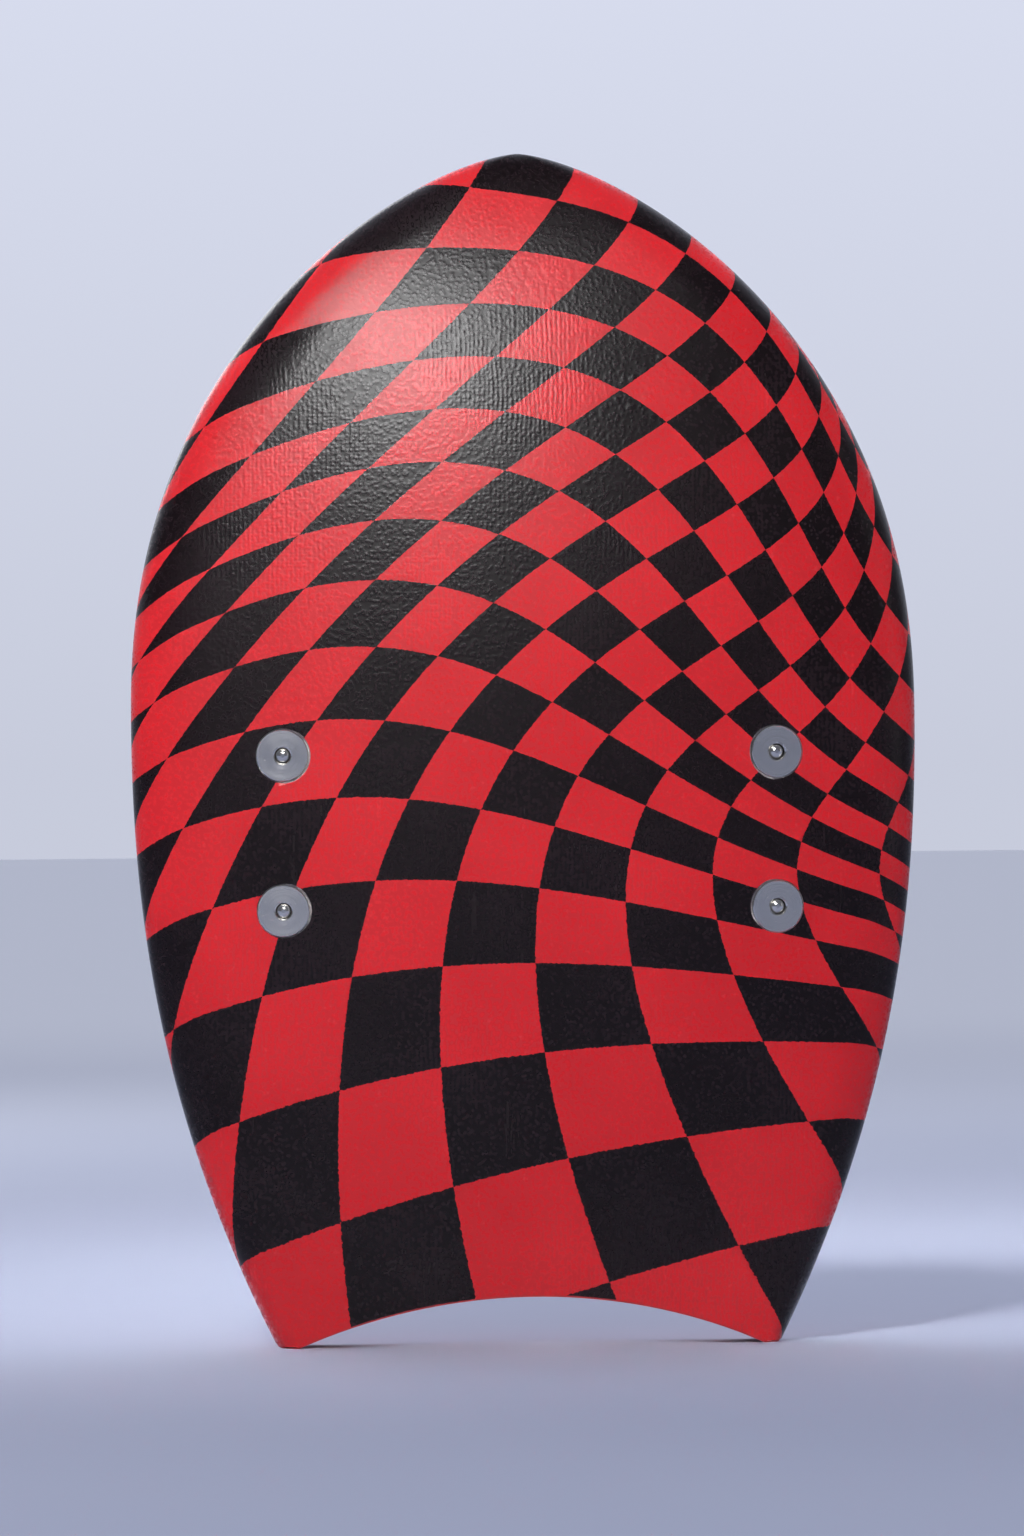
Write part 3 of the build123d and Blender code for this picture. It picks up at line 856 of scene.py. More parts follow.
def screw_steel():
    """Polished screw steel with a few handling scratches."""
    paint = bpy.context.scene.finishes
    finish = Finish("screw_steel", IOR=2.4)
    scratch = finish.noise(finish.place(stretch=(8, 1, 1)), 900.0, 2.0, 0.6)
    haze = finish.noise(finish.place(), 500.0, 2.0, 0.6)
    shade = finish.mix(haze * 0.4, (0.72, 0.71, 0.69), paint.steel)
    normal = finish.relief(scratch, 0.12, 0.00004)
    rough = 0.12 + scratch.ramp(0.6, 0.8) * 0.15 + haze * 0.06
    return finish.set(Base_Color=shade, Metallic=1.0, Roughness=rough, Normal=normal)


def moulded_nylon(name, shade_name, pale):
    """Moulded nylon with a fine spark-eroded texture and paler flow streaks."""
    paint = bpy.context.scene.finishes
    base = getattr(paint, shade_name)
    finish = Finish(name, IOR=1.53)
    spark = finish.noise(finish.place(), 1900.0, 3.0, 0.7)
    flow = finish.noise(finish.place(stretch=(1, 1, 0.25)), 90.0, 2.0, 0.5)
    shade = finish.mix(flow.ramp(0.3, 0.8) * 0.5, base, pale)
    normal = finish.relief(spark, 0.4, 0.0001)
    return finish.set(Base_Color=shade, Roughness=0.4 + spark * 0.22, Normal=normal)


def webbing():
    """Woven nylon webbing in a broken twill, with selvedges along both sides."""
    paint = bpy.context.scene.finishes
    strap = bpy.context.scene.strap_sizes
    warp_pitch, row_pitch, twill_pitch, bar_pitch = 0.0011, 0.0044, 0.0024, 0.0014
    finish = Finish("webbing", IOR=1.5, Sheen_Weight=0.25, Sheen_Roughness=0.5)
    across, along, _ = finish.split(finish.sheet())
    warp = (across / warp_pitch * pi).sine().size()
    rows = across / row_pitch
    lean = ((rows % 2.0) > 1.0) * 2.0 - 1.0
    twill = (((along + across * lean) / twill_pitch) * (2 * pi)).sine() * 0.5 + 0.5
    selvedge = (across.size() / (strap.width / 2)).ramp(0.93, 0.955)
    bars = ((along / bar_pitch) * (2 * pi)).sine() * 0.5 + 0.5
    height = (warp * 0.45 + twill * 0.55) * (1 - selvedge) + bars * selvedge
    fuzz = finish.noise(finish.place(), 2400.0, 2.0, 0.7)
    fade = finish.noise(finish.place(), 45.0, 3.0, 0.6)
    # Painted shade: the webbing darkens in the hollows of its weave.
    shade = finish.mix(height * 0.75, (0.0045, 0.0045, 0.005), paint.webbing_black)
    shade = finish.mix(fade.ramp(0.45, 0.8) * 0.3, shade, (0.045, 0.044, 0.046))
    shade = finish.mix(fuzz.ramp(0.62, 0.8) * 0.3, shade, (0.075, 0.074, 0.078))
    normal = finish.relief(height * 0.85 + fuzz * 0.15, 0.75, 0.00045)
    return finish.set(Base_Color=shade, Roughness=0.55 + fuzz * 0.25, Normal=normal)


def neoprene():
    """Neoprene faced with fine knitted jersey."""
    wale_pitch, course_pitch = 0.0009, 0.0007
    finish = Finish("neoprene", IOR=1.45, Sheen_Weight=0.3, Sheen_Roughness=0.45)
    across, along, _ = finish.split(finish.sheet())
    wale = (across / wale_pitch * pi).sine().size()
    course = ((along / course_pitch + wale * 0.6) * (2 * pi)).sine() * 0.5 + 0.5
    fade = finish.noise(finish.place(), 70.0, 3.0, 0.6)
    fuzz = finish.noise(finish.place(), 3000.0, 2.0, 0.7)
    height = wale * 0.6 + course * 0.4
    # Painted shade: the jersey darkens in the hollows of its knit.
    shade = finish.mix(height * 0.6, (0.008, 0.008, 0.009), (0.03, 0.03, 0.033))
    shade = finish.mix(fade.ramp(0.4, 0.8) * 0.4, shade, (0.05, 0.05, 0.054))
    normal = finish.relief(height * 0.8 + fuzz * 0.2, 0.6, 0.00025)
    return finish.set(Base_Color=shade, Roughness=0.72 + fuzz * 0.15, Normal=normal)


def fastening(name, hooked):
    """Hook tape, in close rows of little hooks, or loop tape with its matted pile."""
    row_pitch, tip_pitch = 0.0013, 0.0009
    finish = Finish(name, IOR=1.48, Sheen_Weight=0.05 if hooked else 0.35)
    across, along, _ = finish.split(finish.sheet())
    if hooked:
        rows = (across / row_pitch * pi).sine().size()
        tips = (along / tip_pitch * pi).sine().size()
        height = (rows * tips).ramp(0.35, 0.95)
        speck = finish.noise(finish.place(), 2500.0, 2.0, 0.6)
    else:
        speck = finish.noise(finish.place(), 1500.0, 4.0, 0.8, 1.2)
        tangle = finish.noise(finish.place(stretch=(1, 1, 2.5)), 800.0, 3.0, 0.8, 2.0)
        height = speck * 0.5 + tangle.ramp(0.3, 0.7) * 0.5
    # Painted shade: the tape darkens where its hooks and pile lie low.
    shade = finish.mix(height, (0.006, 0.006, 0.007), (0.038, 0.037, 0.04))
    shade = finish.mix(speck.ramp(0.6, 0.8) * 0.4, shade, (0.09, 0.088, 0.093))
    normal = finish.relief(height, 0.9, 0.0006)
    return finish.set(Base_Color=shade, Roughness=0.7 + speck * 0.2, Normal=normal)


def thread():
    """Bonded polyester thread, twisted from three plies."""
    paint = bpy.context.scene.finishes
    finish = Finish("thread", IOR=1.5, Sheen_Weight=0.2)
    ply_pitch = 0.00045
    x, _, z = finish.split(finish.place())
    ply = (((x + z) / ply_pitch) * (2 * pi)).sine() * 0.5 + 0.5
    worn = finish.noise(finish.place(), 300.0, 2.0, 0.6)
    # Painted shade: the thread darkens in the grooves between its plies.
    shade = finish.mix(ply * 0.5, (0.24, 0.008, 0.012), paint.thread_red)
    shade = finish.mix(worn.ramp(0.55, 0.8) * 0.4, shade, (0.55, 0.08, 0.08))
    normal = finish.relief(ply, 0.5, 0.0001)
    return finish.set(Base_Color=shade, Roughness=0.5 + worn * 0.2, Normal=normal)


def foam_beads():
    """Moulded bead foam."""
    paint = bpy.context.scene.finishes
    finish = Finish("foam", IOR=1.4, Subsurface_Weight=0.05)
    beads = finish.cells(finish.place(), 330.0, "DISTANCE_TO_EDGE")
    dust = finish.noise(finish.place(), 900.0, 2.0, 0.6)
    shade = finish.mix(beads.ramp(0.0, 0.08), (0.6, 0.6, 0.56), paint.core_white)
    normal = finish.relief(beads.ramp(0.0, 0.2), 0.5, 0.0003)
    return finish.set(Base_Color=shade, Roughness=0.75 + dust * 0.15, Normal=normal)


# ---- Board operators --------------------------------------------------------------------

# Cutters for the seats in the deck skin: how much they clear across and along, their
# heights and their corners.
seat_play, seat_height, seat_corner = (1.2 * mm, 0.6 * mm), 6.2 * mm, 3.8 * mm
slot_width, slot_play, slot_height, slot_corner = 8.6 * mm, 0.8 * mm, 8 * mm, 0.8 * mm
palm_play, palm_height = 0.5 * mm, 5.6 * mm
# Skins are this share of their full thickness, so that they stay clear of the core.
skin_share = 0.95


def round_cutter(name, plane, radius, lip, back, ahead):
    """A round cutter on a fixing's plane, flared at the surface so that it leaves a lip."""
    profile = ((0, back), (radius, back), (radius, -lip))
    flare = [
        (radius + lip * (1 - cos(turn)), -lip + lip * sin(turn)) for turn in (0.4, 0.8, 1.2, pi / 2)
    ]
    line = (*profile, *flare, (radius + lip, ahead), (0, ahead))
    bm = bmesh.new()
    corners = [bm.verts.new((x, 0, z)) for x, z in line]
    edges = [bm.edges.new(pair) for pair in zip(corners, corners[1:])]
    bmesh.ops.spin(
        bm,
        geom=corners + edges,
        cent=(0, 0, 0),
        axis=(0, 0, 1),
        angle=2 * pi,
        steps=96,
        use_merge=True,
    )
    bmesh.ops.remove_doubles(bm, verts=bm.verts, dist=1e-7)
    bmesh.ops.transform(bm, matrix=plane, verts=bm.verts)
    bmesh.ops.recalc_face_normals(bm, faces=bm.faces)
    return new_piece(name, bm)


def box_cutter(name, matrix, size, corner):
    """A block with its corners rounded in plan, on a plane's x and y."""
    bm = bmesh.new()
    bmesh.ops.create_cube(bm, size=1, matrix=Matrix.Diagonal((*size, 1)))
    upright = [edge for edge in bm.edges if abs((edge.verts[0].co - edge.verts[1].co).z) > 1e-6]
    bmesh.ops.bevel(
        bm,
        geom=upright,
        offset=corner,
        segments=6,
        profile=0.5,
        affect="EDGES",
        material=-1,
    )
    bmesh.ops.transform(bm, matrix=matrix, verts=bm.verts)
    return new_piece(name, bm)


def make_skin(name, deck, material, print_map):
    """One skin as a closed shell, with its seam edge turned in a little."""
    shape = bpy.context.scene.board_shape
    points = skin_points(shape, deck)
    surface = points[:, :, :3].copy()
    if print_map:
        chart = artwork_cell(points[:, :, 3:5])
    else:
        chart = points[:, :, 3:5]
    across = np.gradient(surface, axis=1)
    along = np.gradient(surface, axis=0)
    facing = np.cross(across, along)
    facing /= np.linalg.norm(facing, axis=-1, keepdims=True) + 1e-12
    probe = (100, points.shape[1] // 2)
    faces_deck = facing[probe][1] > 0
    out = facing if faces_deck == deck else -facing
    # The two outermost columns turn in, so that a fine groove shows between the skins.
    for column, share in ((0, 1.0), (1, 0.3), (-1, 1.0), (-2, 0.3)):
        surface[:, column] -= out[:, column] * shape.groove * share
    uv = chart.reshape(*surface.shape[:2], 2)
    bm = grid_sheet(surface, uv)
    centre = Vector(surface[probe])
    middle_face = min(bm.faces, key=lambda face: (face.calc_center_median() - centre).length)
    if (middle_face.normal.y > 0) != deck:
        bmesh.ops.reverse_faces(bm, faces=bm.faces)
    piece = new_piece(name, bm)
    wall = piece.modifiers.new("wall", "SOLIDIFY")
    wall.thickness, wall.offset, wall.use_even_offset = shape.skin * skin_share, -1, False
    settle_modifiers(piece)
    return dress(piece, material)


class MakeBottom(bpy.types.Operator):
    """Lays the printed skin over the riding bottom and the lower rails"""

    bl_idname = "bodyboard.make_bottom"
    bl_label = "Bottom skin"

    def execute(self, context):
        sizes = context.scene.fixing_sizes
        piece = make_skin("bottom_print", False, printed_skin(), True)
        edge = skin_edge()
        cutters = []
        for name, plane in fixing_planes().items():
            cutter = round_cutter(
                f"recess_{name}", plane, sizes.recess, sizes.recess_lip, -4 * mm, 3 * mm
            )
            cutter.data.materials.append(edge)
            cutters.append(cutter)
        carve(piece, cutters)
        sharpen(piece, 40)
        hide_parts("bottom_skin")
        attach(piece, "board")
        return {"FINISHED"}


class MakeDeck(bpy.types.Operator):
    """Lays the foam skin over the deck and the upper rails, with seats for the clamps"""

    bl_idname = "bodyboard.make_deck"
    bl_label = "Deck skin"

    def execute(self, context):
        sizes, strap = context.scene.fixing_sizes, context.scene.strap_sizes
        piece = make_skin("deck_foam_skin", True, deck_foam(), False)
        edge = bpy.data.materials.get("skin_edge") or skin_edge()
        splay = radians(sizes.splay)
        cutters = []
        for name, side in (("left", -1), ("right", 1)):
            # The seat is square to its leaning fixings; the slot lets the webbing turn up.
            x, level = clamp_centre(side)
            out = out_of_deck * cos(splay) - across_board * side * sin(splay)
            matrix = place_on(
                strap_point(x, level) + out * 3 * mm, up_the_board.cross(out), up_the_board, out
            )
            cutter = box_cutter(
                f"seat_{name}",
                matrix,
                (
                    sizes.plate_width + seat_play[0],
                    sizes.plate_length + seat_play[1],
                    seat_height,
                ),
                seat_corner,
            )
            cutter.data.materials.append(edge)
            cutters.append(cutter)
            riser = abs(left_hinge.x if side < 0 else right_hinge.x)
            slot_middle = strap_point(side * (riser + 3 * mm), 1.5 * mm)
            slot = box_cutter(
                f"slot_{name}",
                place_on(slot_middle, -across_board, up_the_board, out_of_deck),
                (slot_width, strap.width + slot_play, slot_height),
                slot_corner,
            )
            slot.data.materials.append(edge)
            cutters.append(slot)
        palm_matrix = place_on(strap_point(0, 2 * mm), -across_board, up_the_board, out_of_deck)
        palm = box_cutter(
            "seat_palm",
            palm_matrix,
            (strap.palm_width + palm_play, strap.palm_length + palm_play, palm_height),
            strap.palm_corner,
        )
        palm.data.materials.append(edge)
        cutters.append(palm)
        carve(piece, cutters)
        sharpen(piece, 40)
        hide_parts("deck_skin")
        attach(piece, "board")
        return {"FINISHED"}


class DressBoard(bpy.types.Operator):
    """Finishes the core, the tail sheet, the clamp plates and the tubes"""

    bl_idname = "bodyboard.dress_board"
    bl_label = "Core, tail and plates"

    def execute(self, context):
        dress("foam_core", foam_beads())
        dress("tail_panel", tail_sheet())
        plate = moulded_nylon("plate_nylon", "nylon", (0.045, 0.045, 0.048))
        tube = moulded_nylon("tube_nylon", "core_white", (0.7, 0.7, 0.66))
        for side in ("left", "right"):
            dress(f"clamp_plate_{side}", plate)
            for row in ("rear", "front"):
                dress(f"spacer_tube_{side}_{row}", tube)
        return {"FINISHED"}


class DressFixings(bpy.types.Operator):
    """Finishes the turned discs and the polished screws"""

    bl_idname = "bodyboard.dress_fixings"
    bl_label = "Fixings"

    def execute(self, context):
        polished = screw_steel()
        for name, plane in fixing_planes().items():
            dress(f"flange_nut_{name}", turned_steel(plane))
            dress(f"clamp_screw_{name}", polished)
        return {"FINISHED"}


class MakePalmPad(bpy.types.Operator):
    """Moulds the grooved foam pad under the hand"""

    bl_idname = "bodyboard.make_palm_pad"
    bl_label = "Palm pad"

    def execute(self, context):
        strap = context.scene.strap_sizes
        clear = 0.2 * mm
        half_x, half_z = strap.palm_width / 2 - clear, strap.palm_length / 2 - clear
        corner, top = strap.palm_corner, strap.palm_rise
        edge_drop, edge_run = 1.3 * mm, 2.2 * mm
        groove_depth, groove_half, groove_end = 1.1 * mm, 1.15 * mm, 1.6 * mm
        swell = 0.25 * mm
        columns, rows = 93, 157
        x, z = np.meshgrid(
            np.linspace(-half_x, half_x, columns), np.linspace(-half_z, half_z, rows)
        )
        # Points outside the rounded corners are drawn in to them.
        over_x = np.clip(np.abs(x) - (half_x - corner), 0, None)
        over_z = np.clip(np.abs(z) - (half_z - corner), 0, None)
        reach = np.hypot(over_x, over_z)
        pull = np.where(reach > corner, corner / np.maximum(reach, 1e-9), 1.0)
        x = np.sign(x) * (np.abs(x) - over_x * (1 - pull))
        z = np.sign(z) * (np.abs(z) - over_z * (1 - pull))
        inset = np.minimum(
            np.where(
                (over_x > 0) & (over_z > 0),
                corner - np.minimum(reach, corner),
                np.minimum(half_x - np.abs(x), half_z - np.abs(z)),
            ),
            4 * mm,
        )
        to_edge = 1 - np.clip(inset / edge_run, 0, 1)
        rounding = edge_drop * (1 - np.sqrt(np.clip(1 - to_edge**2, 0, 1)))
        from_groove = np.abs((z + strap.palm_pitch / 2) % strap.palm_pitch - strap.palm_pitch / 2)
        groove = groove_depth * np.exp(-((from_groove / groove_half) ** 4))
        crown = swell * np.cos(from_groove / strap.palm_pitch * 2 * pi)
        rise = top - rounding - groove * np.clip(inset / groove_end, 0, 1) - crown - swell
        points = np.array(
            [
                [tuple(strap_point(x[r, c], rise[r, c], z[r, c])) for c in range(columns)]
                for r in range(rows)
            ]
        )
        bm = grid_sheet(points, np.stack([x, z], -1))
        if bm.faces[:][len(bm.faces) // 2].normal.y < 0:
            bmesh.ops.reverse_faces(bm, faces=bm.faces)
        rim = [edge for edge in bm.edges if edge.is_boundary]
        sides = bmesh.ops.extrude_edge_only(bm, edges=rim)["geom"]
        lower = [item for item in sides if isinstance(item, bmesh.types.BMVert)]
        base = strap_point(0, strap.palm_rise - strap.palm_thickness + clear)
        for vertex in lower:
            vertex.co -= out_of_deck * (vertex.co - base).dot(out_of_deck)
        bmesh.ops.contextual_create(
            bm, geom=[edge for edge in bm.edges if edge.is_boundary]
        )
        bmesh.ops.recalc_face_normals(bm, faces=bm.faces)
        piece = new_piece("palm_pad_foam", bm)
        sharpen(piece, 60)
        dress(piece, palm_foam())
        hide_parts("palm_pad")
        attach(piece, "board")
        return {"FINISHED"}


# ---- Strap ------------------------------------------------------------------------------

# Fabric is shown a little thinner than its layer, and stitches lie on its face.
fabric_share, patch_share = 0.94, 0.92
stitch_share = fabric_share / 2
# Inner radius of the webbing's turn up from its plate, and how far a half bends there.
turn_radius, blend_reach = 1.6 * mm, 3.2 * mm
# Two rows of stitches along each edge, and one stitch's pitch as a multiple of its length.
seam_insets = (3.2 * mm, 5.4 * mm)
stitch_pitch = 1.35
webbing_columns, webbing_round = 37, 0.55 * mm


def arch_line(level, start, end, step=1.4 * mm):
    """Points of the arch at a level above its inner face, from one turn to another."""
    strap = bpy.context.scene.strap_sizes
    over = strap.pad + strap.webbing + 2 * strap.patch + strap.peel_gap
    half = right_hinge.x - over - strap.webbing / 2
    centre = half - strap.side_radius
    limit = radians(strap.side_turn)
    reach = centre / sin(limit)
    crown = strap.side_height - reach * cos(limit)
    line = []
    count = max(8, round(radians(abs(end - start)) * (strap.side_radius + level + 12 * mm) / step))
    for turn in np.radians(np.linspace(start, end, count + 1)):
        if abs(turn) <= limit:
            radius, x, y = strap.side_radius + level + reach, 0.0, crown
        else:
            radius = strap.side_radius + level
            x, y = centre * (1 if turn > 0 else -1), strap.side_height
        line.append((x + radius * sin(turn), y + radius * cos(turn)))
    return line


def anchored_line(side, level, end_turn):
    """The webbing's middle line: flat under its plate, up the riser and over the arch."""
    sizes, strap = bpy.context.scene.fixing_sizes, bpy.context.scene.strap_sizes
    x, seat = clamp_centre(side)
    clamp = abs(x)
    splay = radians(sizes.splay)
    riser = abs(right_hinge.x if side > 0 else left_hinge.x)
    base = seat + strap.webbing / 2 / cos(splay)
    outboard = clamp + sizes.plate_width / 2
    corner = base - (clamp - riser) * tan(splay)
    bend = turn_radius + strap.webbing / 2
    line = []
    for share in np.linspace(0, 1, 8):
        here = outboard + (riser + bend - outboard) * share
        line.append((side * here, base + (here - clamp) * tan(splay)))
    for turn in np.radians(np.linspace(15, 90, 6)):
        line.append(
            (side * (riser + bend * (1 - sin(turn))), corner + bend * (1 - cos(turn)))
        )
    for share in np.linspace(0.15, 0.95, 7):
        line.append((side * riser, corner + bend + (strap.side_height - corner - bend) * share))
    line += arch_line(level, side * 90, end_turn)
    return line


def band(name, line, width, thickness, columns, round_edge, crown=0.0, taper=None):
    """A strip swept along a line in the strap's plane, with a UV map in metres."""
    line = np.array(line)
    run = run_along(line)
    even = np.linspace(0, run[-1], max(6, round(run[-1] / (1.5 * mm))))
    smooth = np.stack([np.interp(even, run, line[:, k]) for k in (0, 1)], -1)
    tangent = np.gradient(smooth, axis=0)
    tangent /= np.linalg.norm(tangent, axis=1, keepdims=True)
    out = np.stack([-tangent[:, 1], tangent[:, 0]], -1)
    if out[len(out) // 2, 1] < 0:
        out = -out
    side = np.linspace(-1, 1, columns)
    points = np.zeros((len(even), columns, 3))
    for row, (x, rise) in enumerate(smooth):
        wide = width / 2 * (taper(even[row] / run[-1]) if taper else 1.0)
        for column, share in enumerate(side):
            lift = crown * (1 - share**2)
            points[row, column] = strap_point(
                x + out[row, 0] * lift, rise + out[row, 1] * lift, share * wide
            )
    uv = np.stack(np.meshgrid(side * width / 2, even), -1)
    bm = grid_sheet(points, uv)
    piece = new_piece(name, bm)
    wall = piece.modifiers.new("wall", "SOLIDIFY")
    wall.thickness, wall.offset = thickness, 0
    rounding = piece.modifiers.new("rounding", "BEVEL")
    rounding.width, rounding.segments, rounding.limit_method = round_edge, 3, "ANGLE"
    rounding.angle_limit = radians(50)
    settle_modifiers(piece)
    face_outwards(piece)
    sharpen(piece, 60)
    return piece


def stitch_line(bm, line, along, lift):
    """Adds a row of stitches along a line in the strap's plane, at one distance up the board."""
    strap = bpy.context.scene.strap_sizes
    line = np.array(line)
    run = run_along(line)
    pitch = strap.stitch * stitch_pitch
    for start in np.arange(pitch, run[-1] - pitch, pitch):
        a = np.array([np.interp(start, run, line[:, k]) for k in (0, 1)])
        b = np.array([np.interp(start + strap.stitch, run, line[:, k]) for k in (0, 1)])
        tangent = (b - a) / np.linalg.norm(b - a)
        out = np.array([-tangent[1], tangent[0]])
        if out @ ((a + b) / 2 - np.array([0, -20 * mm])) < 0:
            out = -out
        middle_point = (a + b) / 2 + out * lift
        add_stitch(
            bm,
            strap_point(middle_point[0], middle_point[1], along),
            (across_board * tangent[0] + out_of_deck * tangent[1]),
            (across_board * out[0] + out_of_deck * out[1]),
        )


def add_stitch(bm, centre, direction, out):
    """One stitch: a short plump run of thread."""
    strap = bpy.context.scene.strap_sizes
    matrix = place_on(centre, direction, out.cross(direction), out)
    stretch = Matrix.Diagonal((strap.stitch / 2, strap.thread / 2, strap.thread * 0.55, 1))
    bmesh.ops.create_uvsphere(bm, u_segments=8, v_segments=5, radius=1, matrix=matrix @ stretch)


class MakeStrapUnder(bpy.types.Operator):
    """Weaves the lower half of the strap, from the left clamp over the hand"""

    bl_idname = "bodyboard.make_strap_under"
    bl_label = "Lower strap half"

    def execute(self, context):
        strap = context.scene.strap_sizes
        level = strap.pad + strap.webbing / 2
        line = anchored_line(-1, level, 40)
        thick = strap.webbing * fabric_share
        piece = band(
            "webbing_under", line, strap.width, thick, webbing_columns, webbing_round
        )
        dress(piece, webbing())
        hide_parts("strap_under", "strap_anchor_left")
        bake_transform(piece)
        bm = bmesh.new()
        for side in (-1, 1):
            for inset in seam_insets:
                path = arch_line(level, -84, 38)
                along = side * (strap.width / 2 - inset)
                stitch_line(bm, path, along, strap.webbing * stitch_share)
        seams = new_piece("stitching_under", bm)
        dress(seams, thread())
        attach(seams, "strap_under_half")
        return {"FINISHED"}


class MakeStrapOver(bpy.types.Operator):
    """Weaves the upper half of the strap, from the right clamp, with its pull tab"""

    bl_idname = "bodyboard.make_strap_over"
    bl_label = "Upper strap half"

    def execute(self, context):
        strap = context.scene.strap_sizes
        level = strap.pad + 1.5 * strap.webbing + 2 * strap.patch + strap.peel_gap
        line = anchored_line(1, level, -44)
        thick = strap.webbing * fabric_share
        piece = band(
            "webbing_over", line, strap.width, thick, webbing_columns, webbing_round
        )
        dress(piece, bpy.data.materials.get("webbing") or webbing())
        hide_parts("strap_over", "strap_anchor_right")
        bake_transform(piece)

        tab_level = level + strap.webbing / 2 + strap.tab / 2
        tab = band(
            "pull_tab_strip",
            arch_line(tab_level, -60, -34),
            strap.tab_width,
            strap.tab * fabric_share,
            21,
            0.45 * mm,
            taper=lambda share: 1.0 - 0.22 * (1 - min(1.0, share / 0.16)) ** 2,
        )
        dress(tab, moulded_nylon("tab_rubber", "nylon", (0.05, 0.05, 0.054)))
        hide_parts("pull_tab")
        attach(tab, "strap_over_half")

        bm = bmesh.new()
        path = arch_line(level, -42, 84)
        for side in (-1, 1):
            for inset in seam_insets:
                along = side * (strap.width / 2 - inset)
                stitch_line(bm, path, along, strap.webbing * stitch_share)
        # Three short rows sew the tab down.
        for along in np.linspace(-9 * mm, 9 * mm, 3):
            stitch_line(bm, arch_line(tab_level, -44, -34.5), along, strap.tab * stitch_share)
        # One row closes the free end, on both sides of the tab.
        row_x, row_rise = arch_line(level, -42.5, -41.5)[0]
        turn = radians(-42.2)
        out = across_board * sin(turn) + out_of_deck * cos(turn)
        for along in np.arange(-31 * mm, 31.1 * mm, strap.stitch * stitch_pitch):
            if abs(along) < strap.tab_width / 2 + 1 * mm:
                continue
            centre = strap_point(row_x, row_rise, along) + out * strap.webbing * stitch_share
            add_stitch(bm, centre, up_the_board, out)
        seams = new_piece("stitching_over", bm)
        dress(seams, bpy.data.materials.get("thread") or thread())
        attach(seams, "strap_over_half")
        return {"FINISHED"}


class MakeFastening(bpy.types.Operator):
    """Makes the loop patch and the hook patch between the strap's halves"""

    bl_idname = "bodyboard.make_fastening"
    bl_label = "Hook and loop"

    def execute(self, context):
        strap = context.scene.strap_sizes
        loop_level = strap.pad + strap.webbing + strap.patch / 2
        hook_level = loop_level + strap.patch + strap.peel_gap
        for name, node, level, start, end, body, hooked in (
            ("loop_pile", "loop_patch", loop_level, -62, 36, "strap_under_half", False),
            ("hook_tape", "hook_patch", hook_level, -42, 30, "strap_over_half", True),
        ):
            path = arch_line(level, start, end)
            thick = strap.patch * patch_share
            piece = band(name, path, strap.patch_width, thick, 31, 0.3 * mm)
            dress(piece, fastening(name, hooked))
            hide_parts(node)
            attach(piece, body)
        return {"FINISHED"}


